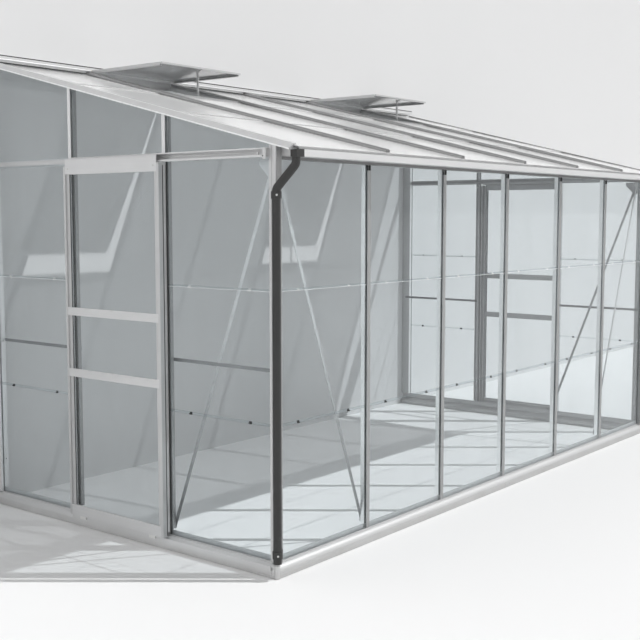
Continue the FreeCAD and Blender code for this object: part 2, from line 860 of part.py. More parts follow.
def make_eave():
    """Eave beam over the front bars, with a hollow overhang that carries the gutter."""
    wall = s.extrusion_wall
    face = -s.beam_reach
    step = -s.play
    upper = ROOF_SEAT - wall - s.play
    lower = ROOF_CHANNEL - s.play
    lip = BEAM_LOW + s.beam_rebate

    def place(back, up):
        return FRONT + back, up

    outer = [
        (face, BEAM_OVERHANG_LOW),
        (face, line_height(face, upper)),
        (step, line_height(step, upper)),
        (step, line_height(step, lower)),
        (INNER_FACE, line_height(INNER_FACE, lower)),
        (INNER_FACE, BEAM_LOW),
        (SEAT, BEAM_LOW),
        (SEAT, lip),
        (step, lip),
        (step, BEAM_LOW),
        (-s.bar_nose_proud, BEAM_LOW),
        (-s.bar_nose_proud, BEAM_OVERHANG_LOW),
    ]
    front_hollow = [
        (face + wall, BEAM_OVERHANG_LOW + wall),
        (face + wall, line_height(face + wall, upper) - wall),
        (step - wall, line_height(step - wall, upper) - wall),
        (step - wall, BEAM_OVERHANG_LOW + wall),
    ]
    back_hollow = [
        (SEAT + wall, BEAM_LOW + wall),
        (SEAT + wall, lip + wall),
        (step, lip + wall),
        (step, line_height(step, lower) - wall),
        (INNER_FACE - wall, line_height(INNER_FACE - wall, lower) - wall),
        (INNER_FACE - wall, BEAM_LOW + wall),
    ]
    outer, front_hollow, back_hollow = [across(loop, place) for loop in (outer, front_hollow, back_hollow)]
    body = new_body("eave_beam")
    end = HALF - s.post_leg - s.play
    pad(body, "YZ", -end, end, loops=[outer, front_hollow, back_hollow])
    for low, high in ((-end, wall - end), (end - wall, end)):
        pad(body, "YZ", low, high, loops=[front_hollow])
    for side in (-1, 1):
        past = gable_x(side, 0)
        inner = gable_x(side, INNER_FACE + s.play)
        back = FRONT + INNER_FACE + s.play
        front = FRONT + step - s.play
        pocket(body, "XY", BEAM_LOW - s.play, line_height(INNER_FACE, ROOF_SEAT),
               loops=[[(past, front), (inner, front), (inner, back), (past, back)]])
    keep(body)


def make_gutter():
    """Gutter along the eave beam: a trough with a folded rim and an outlet hole near each end."""
    wall = s.gutter_wall
    front, back = -s.gutter_reach, -s.beam_reach
    rim = GUTTER_RIM
    back_rim = line_height(back, -s.play) - s.play
    outline = [
        (front, GUTTER_LOW),
        (front, rim),
        (front + s.gutter_rim_lip, rim),
        (front + s.gutter_rim_lip, rim - wall),
        (front + wall, rim - wall),
        (front + wall, GUTTER_LOW + wall),
        (back - wall, GUTTER_LOW + wall),
        (back - wall, back_rim),
        (back, back_rim),
        (back, GUTTER_LOW),
    ]
    body = new_body("gutter")
    end = HALF + s.gutter_end
    pad(body, "YZ", -end, end, loops=[across(outline, lambda at, up: (FRONT + at, up))])
    hole = SPIGOT_RADIUS - s.outlet_wall - s.play
    circles = [((gable_x(side, -s.outlet_x), outlet_y()), hole) for side in (-1, 1)]
    pocket(body, "XY", GUTTER_LOW - s.play, GUTTER_LOW + wall + s.play, circles=circles)
    keep(body)


def outlet_y():
    """Y of the gutter's middle, where the water leaves."""
    return FRONT - (s.gutter_reach + s.beam_reach) / 2


def make_outlets():
    """Moulded end pieces of the gutter: a collar closed at its end, with a spigot below."""
    outlets = []
    wall = s.outlet_wall
    for side, name in ((-1, "left"), (1, "right")):
        front = FRONT - s.gutter_reach
        low = GUTTER_LOW
        outer = [
            (front - wall, low - wall),
            (front - wall, GUTTER_RIM),
            (front - s.play, GUTTER_RIM),
            (front - s.play, low - s.play),
            (FRONT - s.beam_reach, low - s.play),
            (FRONT - s.beam_reach, low - wall),
        ]
        end_wall = [
            (front - wall, low - wall),
            (front - wall, GUTTER_RIM),
            (FRONT - s.beam_reach, GUTTER_RIM - wall),
            (FRONT - s.beam_reach, low - wall),
        ]
        body = new_body(f"gutter_outlet_{name}")
        inner = gable_x(side, s.outlet_inner_end)
        end = gable_x(side, -s.gutter_end - s.play)
        past = gable_x(side, -s.gutter_end - s.play - wall)
        pad(body, "YZ", *sorted((end, inner), key=lambda item: item.value), loops=[outer])
        pad(body, "YZ", *sorted((past, end), key=lambda item: item.value), loops=[end_wall])
        centre = (gable_x(side, -s.outlet_x), outlet_y())
        bore = SPIGOT_RADIUS - wall
        pad(body, "XY", low - wall - s.outlet_drop, low - wall, circles=[(centre, SPIGOT_RADIUS)])
        pocket(body, "XY", low - wall - s.outlet_drop - s.play, low + s.play, circles=[(centre, bore)])
        outlets.append(body)
    group("gutter_outlets", outlets)


def bent_path(points, radius):
    """A wire of straight runs joined by tangent arcs of one radius."""
    edges = []
    start = points[0]
    for before, corner, after in zip(points, points[1:], points[2:]):
        way_in = (corner - before).normalize()
        way_out = (after - corner).normalize()
        turn = way_in.getAngle(way_out)
        reach = radius * math.tan(turn / 2)
        arc_start = corner - way_in * reach
        arc_end = corner + way_out * reach
        inward = (way_out - way_in).normalize()
        middle = corner + inward * (radius / math.cos(turn / 2) - radius)
        edges.append(Part.LineSegment(start, arc_start).toShape())
        edges.append(Part.Arc(arc_start, middle, arc_end).toShape())
        start = arc_end
    edges.append(Part.LineSegment(start, points[-1]).toShape())
    return Part.Wire(edges)


def bent_tube(points, bend, outer, inner):
    """A hollow tube along a bent path."""
    path = bent_path(points, bend)
    way = (points[1] - points[0]).normalize()
    solids = []
    for radius in (outer, inner):
        ring = Part.Wire([Part.Circle(points[0], way, radius).toShape()])
        solids.append(path.makePipeShell([ring], True, False))
    return solids[0].cut(solids[1])


def pipe_centre(side):
    return gable_x(side, -s.pipe_side), FRONT - s.pipe_front


def make_pipes():
    """Rain water pipes: a swept elbow over the outlet's spigot, a straight pipe and two sleeves on each corner."""
    elbows, sleeves = [], []
    sleeve_bore = s.pipe_radius + s.play
    bore = s.pipe_radius - s.pipe_wall
    for side, name in ((-1, "left"), (1, "right")):
        x, y = pipe_centre(side)
        elbow = doc.addObject("Part::Feature", f"pipe_elbow_{name}")
        spots = [
            (gable_x(side, -s.outlet_x), outlet_y(), GUTTER_LOW - s.outlet_wall - s.play),
            (gable_x(side, -s.outlet_x), outlet_y(), s.eave_height - s.elbow_upper_drop),
            (x, y, s.eave_height - s.elbow_lower_drop),
            (x, y, SLEEVE_UPPER + s.sleeve_length / 2),
        ]
        points = [Vector(*(amount.value for amount in spot)) for spot in spots]
        elbow.Shape = bent_tube(points, s.elbow_bend_radius.value, s.pipe_radius.value, bore.value)
        elbows.append(elbow)
        pipe_top = SLEEVE_UPPER + s.sleeve_length / 2 - s.play
        outside = cylinder(f"pipe_{name}_outside", (x, y, s.pipe_low), s.pipe_radius, pipe_top - s.pipe_low)
        inside = cylinder(f"pipe_{name}_inside", (x, y, s.pipe_low), bore, pipe_top - s.pipe_low)
        keep(cut(f"downpipe_{name}", outside, inside))
        for low in (SLEEVE_UPPER, s.sleeve_lower):
            body = new_body(f"pipe_sleeve_{name}")
            pad(body, "XY", low, low + s.sleeve_length, circles=[((x, y), sleeve_bore + s.sleeve_wall)])
            lug_low = low + (s.sleeve_length - s.sleeve_lug_height) / 2
            half = s.sleeve_lug_width / 2
            lug_end = gable_x(side, s.post_leg / 2)
            face = FRONT - s.post_reach
            pad(body, "XY", lug_low, lug_low + s.sleeve_lug_height,
                loops=[[(x, face - half), (lug_end, face - half), (lug_end, face), (x, face)]])
            pocket(body, "XY", low - s.play, low + s.sleeve_length + s.play, circles=[((x, y), sleeve_bore)])
            sleeves.append(body)
    group("pipe_elbows", elbows)
    group("pipe_sleeves", sleeves)


def end_bar_loops(side):
    """Section of a roof end bar as (inward, rise): bevelled hollow outside, cover over the glass, seat, groove."""
    reach, groove, wall = -s.end_bar_reach, s.end_bar_groove, s.extrusion_wall
    inner = SEAT + wall
    outer = [
        (reach, as_size(0)),
        (reach, s.end_bar_lip),
        (as_size(0), s.end_bar_rise),
        (s.end_bar_cover, s.end_bar_rise),
        (s.end_bar_cover, s.roof_glass_rise + s.play),
        (s.end_bar_web, s.roof_glass_rise + s.play),
        (s.end_bar_web, ROOF_SEAT),
        (s.end_bar_seat, ROOF_SEAT),
        (s.end_bar_seat, ROOF_SEAT - wall),
        (inner, ROOF_SEAT - wall),
        (inner, as_size(0)),
        (SEAT, as_size(0)),
        (SEAT, groove),
        (-s.play, groove),
        (-s.play, as_size(0)),
    ]
    low, high = reach + wall, -s.play - wall
    bevel = (s.end_bar_rise - s.end_bar_lip) / s.end_bar_reach
    under_bevel = s.end_bar_rise - wall - wall * bevel
    hollow = [(low, wall), (low, under_bevel + bevel * low), (high, under_bevel + bevel * high), (high, wall)]
    return [across(loop, lambda inward, rise: (gable_x(side, inward), rise)) for loop in (outer, hollow)]


def slope_length(front):
    """Distance up the slope from the bars' lower ends to a distance behind the front."""
    return (s.bar_overhang + front) / COS


def crown_radius(half, rise):
    """Radius of an arc from half its chord and its rise."""
    return (half * half + rise * rise) / (2 * rise)


def make_roof_bars():
    """Roof bars, the end bars over the gables and the caps that hold the roof glass down."""
    first = -(FRONT_BAYS / 2 - 1) * s.module_pitch

    def on_roof(over, down):
        return first + over, s.roof_glass_rise - down

    body = new_body("roof_bars", on_slope=True)
    end = slope_length(DEPTH + s.roof_bar_tuck)
    outline = bar_outline(s.bar_seat_width, nose=False)
    channel_start = slope_length(s.play + ROOF_SEAT * SIN)
    whole = pad(body, "XZ", channel_start, end, loops=[across(outline, on_roof)])
    tee = mirrored(outline[:4])
    lower = pad(body, "XZ", 0, channel_start, loops=[across(tee, on_roof)])
    pattern(body, [whole, lower], "X", s.module_pitch, FRONT_BAYS - 1)
    keep(body)
    end_bars = []
    for side, name in ((-1, "left"), (1, "right")):
        body = new_body(f"roof_end_bar_{name}", on_slope=True)
        outer, hollow = end_bar_loops(side)
        pad(body, "XZ", s.end_bar_start, end, loops=[outer, hollow])
        pad(body, "XZ", s.end_bar_start, s.end_bar_start + s.extrusion_wall, loops=[hollow])
        end_bars.append(body)
    group("roof_end_bars", end_bars)
    body = new_body("roof_bar_caps", on_slope=True)
    half = s.cap_width / 2
    low = s.roof_glass_rise + s.play
    edge = low + s.cap_edge
    inner = half - s.cap_metal
    inner_crown = s.cap_edge + s.cap_crown - s.cap_metal
    cap = [
        (first - half, low),
        (first - half, edge),
        (first + half, edge, crown_radius(half, s.cap_crown), 1),
        (first + half, low),
        (first + inner, low),
        (first - inner, low, crown_radius(inner, inner_crown), -1),
    ]
    strip = pad(body, "XZ", as_size(0), slope_length(DEPTH), loops=[cap])
    pattern(body, [strip], "X", s.module_pitch, FRONT_BAYS - 1)
    keep(body)


def make_ridge():
    """Ridge plate on the house wall: hood over the glass, hinge bead for the vents, ledge and screw holes."""
    wall = s.extrusion_wall
    back = DEPTH + s.wall_reach
    inside = back - s.ridge_back_metal
    front = RIDGE_FRONT
    front_low = line_height(front + wall, CAP_TOP) + s.play
    hood_low = line_height(back, CAP_TOP) + s.play
    ledge = ROOF_CHANNEL - s.play
    top = RIDGE_TOP
    hood = [(back, hood_low), (back, top), (front, top), (front, front_low), (front + wall, front_low),
            (front + wall, top - wall), (inside, top - wall), (inside, hood_low)]
    plate = [(back, RIDGE_LOW), (back, hood_low), (inside, hood_low), (inside, line_height(inside, ledge)),
             (front, line_height(front, ledge)), (front, line_height(front, ledge) - wall),
             (inside, line_height(inside, ledge) - wall), (inside, RIDGE_LOW)]
    neck = s.hinge_neck / 2
    centre = (VENT_HINGE_FRONT, VENT_HINGE_HEIGHT)
    stem = [(VENT_HINGE_FRONT, VENT_HINGE_HEIGHT - neck), (VENT_HINGE_FRONT, VENT_HINGE_HEIGHT + neck),
            (front + wall, VENT_HINGE_HEIGHT + neck), (front + wall, VENT_HINGE_HEIGHT - neck)]

    def place(at, up):
        return FRONT + at, up

    body = new_body("ridge_plate")
    full = HALF + s.ridge_overrun
    short = HALF - INNER_FACE - s.play
    pad(body, "YZ", -full, full, loops=[across(hood, place)])
    pad(body, "YZ", -short, short, loops=[across(plate, place)])
    pad(body, "YZ", -short, short, loops=[across(stem, place)])
    pad(body, "YZ", -short, short, circles=[(place(*centre), s.hinge_bead_radius)])
    holes = [(((bay + 0.5) * s.module_pitch - HALF, RIDGE_LOW + s.ridge_hole_rise), s.wall_hole_radius)
             for bay in range(FRONT_BAYS)]
    pocket(body, "XZ", FRONT + inside - s.play, FRONT + back + s.play, circles=holes)
    keep(body)


def lap_rows(low, high):
    """Lower and upper edges of the panes of one wall bay."""
    return ((low, s.lap_one_height + s.lap_length), (s.lap_one_height, s.lap_two_height + s.lap_length),
            (s.lap_two_height, high))


def front_bay_edges(bay):
    """X of the two side edges of the panes in one bay, counted from the left."""
    inset = s.bar_web / 2 + s.edge_gap
    low = -HALF + bay * s.module_pitch + (CORE + s.edge_gap if bay == 0 else inset)
    high = -HALF + (bay + 1) * s.module_pitch - (CORE + s.edge_gap if bay == FRONT_BAYS - 1 else inset)
    return low, high


def gable_bay_edges(bay):
    """Y of the two side edges of the panes in one bay of a gable, counted from the front."""
    inset = s.bar_web / 2 + s.edge_gap
    low = FRONT + bay * s.module_pitch + (CORE + s.edge_gap if bay == 0 else inset)
    last = s.wall_post_width - s.wall_post_rebate + s.edge_gap
    high = FRONT + (bay + 1) * s.module_pitch - (last if bay == GABLE_BAYS - 1 else inset)
    return low, high


def make_wall_glass():
    """Panes of the front and the gables, lapped like shingles: each leans in at its top by one lap step."""
    foot = s.sill_floor_height + s.play
    panes = []
    for bay in range(FRONT_BAYS):
        low_x, high_x = front_bay_edges(bay)
        for low, high in lap_rows(foot, BEAM_LOW + s.beam_rebate - s.edge_gap):
            lean = -(LAP_STEP / (high - low)) * DEGREES
            panes.append(box("front_pane", (low_x, FRONT, low), (high_x - low_x, s.pane_thickness, high - low),
                             Vector(1, 0, 0), lean))
    group("front_glass", panes)
    panes = []
    for side in (-1, 1):
        for bay in (0, GABLE_BAYS - 1):
            low_y, high_y = gable_bay_edges(bay)
            for low, high in lap_rows(foot, RAIL_MIDDLE - s.bar_web / 2 - s.edge_gap):
                lean = -side * (LAP_STEP / (high - low)) * DEGREES
                x = gable_x(side, 0 if side < 0 else s.pane_thickness)
                panes.append(box("gable_pane", (x, low_y, low), (s.pane_thickness, high_y - low_y, high - low),
                                 Vector(0, 1, 0), lean))
    group("gable_glass", panes)
    panes = []
    for side in (-1, 1):
        for bay in range(GABLE_BAYS):
            low_y, high_y = gable_bay_edges(bay)
            low = RAIL_MIDDLE + s.bar_web / 2 + s.play
            rise = s.end_bar_groove - s.edge_gap
            loop = [(low_y, low), (high_y, low), (high_y, line_height(high_y - FRONT, rise)),
                    (low_y, line_height(low_y - FRONT, rise))]
            body = new_body("gable_top_pane")
            ends = sorted((gable_x(side, 0), gable_x(side, s.pane_thickness)), key=lambda end: end.value)
            pad(body, "YZ", *ends, loops=[loop])
            panes.append(body)
    group("gable_top_glass", panes)


def slope_point(along, rise):
    """Y and Z of a point on the slope, from its distance up the slope and its rise."""
    return SLOPE_FRONT + along * COS - rise * SIN, SLOPE_HEIGHT + along * SIN + rise * COS


def roof_rows():
    """Lower and upper ends of the roof panes up the slope."""
    low = (s.bar_overhang - s.glass_overhang) / COS
    sill = slope_length(VENT_SILL_FRONT)
    middle = (low + sill) / 2
    return ((low, middle + s.lap_length), (middle, sill + s.lap_length), (sill, slope_length(DEPTH)))


def vent_bay(bay):
    """Tells whether a roof bay holds a vent: the second one from each end."""
    return abs(bay - (FRONT_BAYS - 1) / 2) == VENT_BAY_OFFSET


def make_roof_glass():
    """Roof panes, three up each bay, and two in the bays where a vent takes the third one's place."""
    panes = []
    inset = s.bar_web / 2 + s.edge_gap
    end_inset = s.end_bar_web + s.edge_gap
    for bay in range(FRONT_BAYS):
        low_x = -HALF + bay * s.module_pitch + (end_inset if bay == 0 else inset)
        high_x = -HALF + (bay + 1) * s.module_pitch - (end_inset if bay == FRONT_BAYS - 1 else inset)
        for low, high in roof_rows()[:2 if vent_bay(bay) else 3]:
            lean = s.roof_pitch - (LAP_STEP / (high - low)) * DEGREES
            y, up = slope_point(low, s.roof_glass_rise - s.pane_thickness)
            panes.append(box("roof_pane", (low_x, y, up), (high_x - low_x, high - low, s.pane_thickness),
                             Vector(1, 0, 0), lean))
    group("roof_glass", panes)


def vent_centre(side):
    return side * VENT_BAY_OFFSET * s.module_pitch


def vent_half_width():
    return s.module_pitch / 2 - s.cap_width / 2 - s.vent_side_gap


def make_vent_sills():
    """Cross members below the vents, each with the bracket and peg that a stay hooks on."""
    sills = []
    start = slope_length(VENT_SILL_FRONT)
    lip, length, leg, wall = s.vent_sill_lip, s.vent_sill_length, s.vent_sill_leg, s.extrusion_wall
    step = ROOF_SEAT + s.seal_thickness + s.play
    glass_top = step + s.pane_thickness + s.play
    for side, name in ((-1, "left"), (1, "right")):
        body = new_body(f"vent_sill_{name}", on_slope=True)
        half = s.module_pitch / 2 - s.bar_web / 2 - s.edge_gap
        leg_half = s.module_pitch / 2 - s.bar_seat_width / 2 - s.play
        centre = vent_centre(side)
        top = [
            (start, glass_top),
            (start, glass_top + wall),
            (start + lip, glass_top + wall),
            (start + lip, step + s.vent_sill_tuck),
            (start + length, step + s.vent_sill_tuck),
            (start + length, step),
            (start + lip - wall, step),
            (start + lip - wall, glass_top),
        ]
        drop = [
            (start + length - wall, step - leg),
            (start + length - wall, step),
            (start + length, step),
            (start + length, step - leg),
        ]
        pad(body, "YZ", centre - half, centre + half, loops=[top])
        pad(body, "YZ", centre - leg_half, centre + leg_half, loops=[drop])
        back, rise = start + length, step + s.vent_sill_upstand
        upstand = [(back - wall, step), (back - wall, rise), (back, rise), (back, step)]
        upstand_half = (s.module_pitch - s.cap_width) / 2 - s.play
        pad(body, "YZ", centre - upstand_half, centre + upstand_half, loops=[upstand])
        near = centre + s.stay_metal / 2 + s.peg_play
        far = near + s.peg_length
        reach = peg_along() + s.peg_radius
        low = step - leg
        high = low + s.stay_width
        plate = [(start + length, low), (start + length, high), (reach, high), (reach, low)]
        pad(body, "YZ", far, far + s.stay_bracket_metal, loops=[plate])
        peg = (peg_along(), peg_rise())
        pad(body, "YZ", near, far, circles=[(peg, s.peg_radius)])
        sills.append(body)
    group("vent_sills", sills)


def peg_along():
    """Distance of the stay's peg up the slope, in line with the upright stay."""
    return (STAY_FRONT + s.bar_overhang + peg_rise() * SIN) / COS


def peg_rise():
    """Rise of the peg: half a stay's width above the lower end of the vent sill's leg."""
    return ROOF_SEAT + s.seal_thickness + s.play - s.vent_sill_leg + s.stay_width / 2


def make_vent(side, name):
    """One roof vent, modelled propped open and level: hinge rail, frame, glass and stay."""
    centre = vent_centre(side)
    half = vent_half_width()
    hinge_y, hinge_z = FRONT + VENT_HINGE_FRONT, VENT_HINGE_HEIGHT
    wall = s.extrusion_wall
    low, high = hinge_z - s.vent_below, hinge_z + s.vent_above
    glass_high = hinge_z + s.vent_glass_above
    glass_low = glass_high - s.pane_thickness
    seat_high, seat_low = glass_low - s.play, glass_low - s.play - wall
    lip_low = glass_high + s.play
    bore = s.hinge_bead_radius + s.play
    ring = bore + s.hook_wall
    cosine = Size("cos(sizes.hook_gap)", math.cos(math.radians(s.hook_gap.value)))
    sine = Size("sin(sizes.hook_gap)", math.sin(math.radians(s.hook_gap.value)))

    def on_ring(radius, across_part, up_part):
        return hinge_y + radius * across_part, hinge_z + radius * up_part

    hook = [
        (*on_ring(bore, cosine, -sine), bore, -1),
        (*on_ring(ring, cosine, -sine),),
        (*on_ring(ring, -1, 0), ring, 1),
        (*on_ring(ring, cosine, sine), ring, 1),
        (*on_ring(bore, cosine, sine),),
        (*on_ring(bore, -1, 0), bore, -1),
    ]
    back = hinge_y - ring + s.hook_wall / 2
    rail = [
        (back, low),
        (back, high),
        (back - s.vent_lip, high),
        (back - s.vent_lip, lip_low),
        (back - wall, lip_low),
        (back - wall, seat_high),
        (back - s.vent_seat, seat_high),
        (back - s.vent_seat, seat_low),
        (back - wall, seat_low),
        (back - wall, low),
    ]
    body = new_body(f"vent_{name}_hinge_rail")
    pad(body, "YZ", centre - half, centre + half, loops=[rail])
    pad(body, "YZ", centre - half, centre + half, loops=[hook])
    keep(body)
    front = hinge_y - s.vent_length

    def channel(inward):
        """Section of the frame's edge that grips the glass: face, lip over the glass and seat below it."""
        return [(inward(0), seat_low), (inward(0), high), (inward(s.vent_lip), high), (inward(s.vent_lip), lip_low),
                (inward(wall), lip_low), (inward(wall), seat_high), (inward(s.vent_seat), seat_high),
                (inward(s.vent_seat), seat_low)]

    pieces = []
    rail_back = back - s.vent_seat - s.play
    for hand in (-1, 1):
        body = new_body(f"vent_{name}_side")

        def from_side(amount, hand=hand):
            return centre + hand * (half - amount)

        edge = channel(from_side)
        foot = [(from_side(wall), seat_low), (from_side(wall), low + wall), (from_side(s.vent_seat), low + wall),
                (from_side(s.vent_seat), low), (from_side(0), low)]
        pad(body, "XZ", front + s.vent_seat + s.play, rail_back, loops=[edge[1:] + foot])
        pieces.append(body)
    body = new_body(f"vent_{name}_front")
    pad(body, "YZ", centre - half, centre + half, loops=[channel(lambda amount: front + amount)])
    stay_y, stay_z = FRONT + STAY_FRONT, hinge_z - s.stay_drop
    near = centre - s.stay_metal / 2 - s.peg_play - s.stay_bracket_metal
    radius = s.stay_width / 2
    ear = [(front + wall, seat_low), (front + s.vent_seat, seat_low), (front + s.vent_seat, seat_low - wall),
           (stay_y + radius, seat_low - wall), (stay_y + radius, stay_z - radius), (stay_y - radius, stay_z - radius),
           (front + wall, seat_low - wall)]
    pad(body, "YZ", near, near + s.stay_bracket_metal, loops=[ear])
    pin_end = centre + s.stay_metal / 2 + s.peg_length / 2
    pad(body, "YZ", near + s.stay_bracket_metal, pin_end, circles=[((stay_y, stay_z), s.stay_pin_radius)])
    pieces.append(body)
    group(f"vent_{name}_frame", pieces)
    glass_back = back - wall - s.edge_gap
    glass_front = front + wall + s.edge_gap
    inset = wall + s.edge_gap
    keep(box(f"vent_{name}_glass", (centre - half + inset, glass_front, glass_low),
             (2 * (half - inset), glass_back - glass_front, s.pane_thickness)))
    body = new_body(f"vent_{name}_stay")
    top = stay_z + s.stay_end
    bar = [(stay_y - radius, top - s.stay_length), (stay_y + radius, top - s.stay_length), (stay_y + radius, top),
           (stay_y - radius, top)]
    pad(body, "YZ", centre - s.stay_metal / 2, centre + s.stay_metal / 2, loops=[bar])
    holes = [((stay_y, stay_z - s.stay_hole_first - step * s.stay_hole_spacing), s.stay_hole_radius)
             for step in range(3)]
    holes.append(((stay_y, stay_z), s.stay_pin_radius + s.stay_pin_play))
    pocket(body, "YZ", centre - s.stay_metal / 2 - s.play, centre + s.stay_metal / 2 + s.play, circles=holes)
    keep(body)


def door_x(side, depth):
    """X of a plane that lies inward of a door's outer face."""
    return side * (HALF + s.door_outer - depth)


def track_x(side, outward):
    """X of a plane that lies outward of one gable's glass."""
    return side * (HALF + outward)


def sorted_ends(*ends):
    return sorted((as_size(end) for end in ends), key=lambda end: end.value)


def stile_loops():
    """Section of a door stile as (depth, width): hollow, stepped back where the rails lap it, glass rebate."""
    face, glass, skin = s.door_face_depth, s.door_glass_depth, s.door_skin
    back = glass + s.pane_thickness + s.play
    lip = back + s.door_lip
    width, inner, strip = s.stile_width, s.stile_inner_width, s.stile_strip
    outer = [(as_size(0), as_size(0)), (as_size(0), strip), (face - skin, strip), (face - skin, width), (face, width),
             (face, width - s.door_rebate), (back, width - s.door_rebate), (back, width - skin), (lip, width - skin),
             (lip, inner), (s.door_depth, inner), (s.door_depth, as_size(0))]
    hollow = [(skin, skin), (skin, strip - skin), (face, strip - skin), (face, inner - skin),
              (s.door_depth - skin, inner - skin), (s.door_depth - skin, skin)]
    return outer, hollow


def middle_rail_loops(low):
    """Section of a door's middle rail as (depth, height): hollow face and a glass groove above and below."""
    face, glass, skin = s.door_face_depth, s.door_glass_depth, s.door_skin
    back = glass + s.pane_thickness + s.play
    lip = back + s.door_lip
    high = low + s.middle_rail_height
    rebate = s.door_rebate
    outer = [(as_size(0), low), (as_size(0), high), (face, high), (face, high - rebate), (back, high - rebate),
             (back, high - skin), (lip, high - skin), (lip, low + skin), (back, low + skin), (back, low + rebate),
             (face, low + rebate), (face, low)]
    hollow = [(skin, low + skin), (skin, high - skin), (face - skin, high - skin), (face - skin, low + skin)]
    return outer, hollow


def bottom_rail_loop():
    """Section of a door's bottom rail: glass groove above, open below over the floor guide."""
    face, glass, skin = s.door_face_depth, s.door_glass_depth, s.door_skin
    back = glass + s.pane_thickness + s.play
    lip = back + s.door_lip
    low, high = s.door_low, s.door_low + s.bottom_rail_height
    rebate = s.door_rebate
    shoulder = high - rebate - skin
    return [(as_size(0), low), (as_size(0), high), (face, high), (face, high - rebate), (back, high - rebate),
            (back, high - skin), (lip, high - skin), (lip, shoulder), (s.door_depth, shoulder),
            (s.door_depth, low), (s.door_depth - skin, low), (s.door_depth - skin, shoulder - skin),
            (skin, shoulder - skin), (skin, low)]


def top_rail_loops():
    """Section of a door's top rail: a hollow box with a glass groove, and a face plate that covers the track."""
    face, glass, skin = s.door_face_depth, s.door_glass_depth, s.door_skin
    back = glass + s.pane_thickness + s.play
    low, high, box_top = TOP_RAIL_LOW, TOP_RAIL_LOW + s.top_rail_height, TOP_RAIL_LOW + s.top_rail_box
    rebate = s.door_rebate
    outer = [(as_size(0), low), (as_size(0), high), (s.top_rail_lip, high), (s.top_rail_lip, high - skin),
             (skin, high - skin), (skin, box_top), (s.door_depth, box_top), (s.door_depth, low), (back, low),
             (back, low + rebate), (face, low + rebate), (face, low)]
    hollow = [(skin, low + rebate + skin), (skin, box_top - skin), (s.door_depth - skin, box_top - skin),
              (s.door_depth - skin, low + rebate + skin)]
    return outer, hollow


def wheel_height():
    return TRACK_LOW + s.track_rib_height + s.wheel_ride + s.wheel_tread_radius


def wheel_spots():
    """Y of the two wheels of a closed door: the one nearer the front and the one nearer the wall."""
    return (("front", FRONT + DOOR_FRONT + s.wheel_inset), ("back", FRONT + DOOR_BACK - s.wheel_inset))


def make_door(side, name):
    """One sliding door in its closed place: stiles, rails, glass, wheels, shoes and small fixings."""
    near, far = FRONT + DOOR_FRONT, FRONT + DOOR_BACK
    stiles = []
    for start, hand in ((near, 1), (far, -1)):
        body = new_body(f"door_{name}_stile")
        loops = [across(loop, lambda depth, width: (door_x(side, depth), start + hand * width))
                 for loop in stile_loops()]
        pad(body, "XY", s.door_low, TOP_RAIL_LOW + s.top_rail_box, loops=loops)
        stiles.append(body)
    group(f"door_{name}_stiles", stiles)

    def place(depth, up):
        return door_x(side, depth), up

    rails = []
    lap = s.door_face_depth - s.door_skin - s.play
    behind = s.door_depth + s.play
    sections = [("bottom", [bottom_rail_loop()])]
    sections += [("middle", middle_rail_loops(low)) for low in (s.middle_rail_low, s.middle_rail_high)]
    sections.append(("top", top_rail_loops()))
    for kind, loops in sections:
        body = new_body(f"door_{name}_{kind}_rail")
        start, end = near + s.stile_strip + s.play, far - s.stile_strip - s.play
        pad(body, "XZ", start, end, loops=[across(loop, place) for loop in loops])
        low, high = loops[0][0][1] - s.play, loops[0][1][1] + s.play
        cope = [place(lap, low), place(lap, high), place(behind, high), place(behind, low)]
        pocket(body, "XZ", start, near + s.stile_width + s.play, loops=[cope])
        pocket(body, "XZ", far - s.stile_width - s.play, end, loops=[cope])
        rails.append(body)
    group(f"door_{name}_rails", rails)
    tuck = s.door_rebate - s.edge_gap
    bottom_top = s.door_low + s.bottom_rail_height
    spans = ((bottom_top - tuck, s.middle_rail_low + tuck),
             (s.middle_rail_low + s.middle_rail_height - tuck, s.middle_rail_high + tuck),
             (s.middle_rail_high + s.middle_rail_height - tuck, TOP_RAIL_LOW + tuck))
    edge = s.stile_width - tuck
    x = sorted_ends(door_x(side, s.door_glass_depth), door_x(side, s.door_glass_depth + s.pane_thickness))[0]
    panes = [box("door_pane", (x, near + edge, low), (s.pane_thickness, far - near - 2 * edge, high - low))
             for low, high in spans]
    group(f"door_{name}_glass", panes)
    make_wheels(side, name)
    make_shoes(side, name, near, far)
    make_door_fixings(side, name, near, far)


def rib_middle():
    return s.track_rib_reach - s.track_metal / 2


def make_wheels(side, name):
    """The two grooved wheels that a door hangs on, each a solid of its own."""
    half = s.wheel_width / 2
    for which, y in wheel_spots():
        body = new_body(f"door_{name}_wheel_{which}")
        up = wheel_height()
        centre = (y, up)
        ends = sorted_ends(track_x(side, rib_middle() - half), track_x(side, rib_middle() + half))
        pad(body, "YZ", *ends, circles=[(centre, s.wheel_tread_radius)])
        pad(body, "YZ", ends[0], ends[0] + s.wheel_flange_width, circles=[(centre, s.wheel_flange_radius)])
        pad(body, "YZ", ends[1] - s.wheel_flange_width, ends[1], circles=[(centre, s.wheel_flange_radius)])
        pocket(body, "YZ", ends[0] - s.play, ends[1] + s.play, circles=[(centre, s.wheel_bore_radius)])
        keep(body)


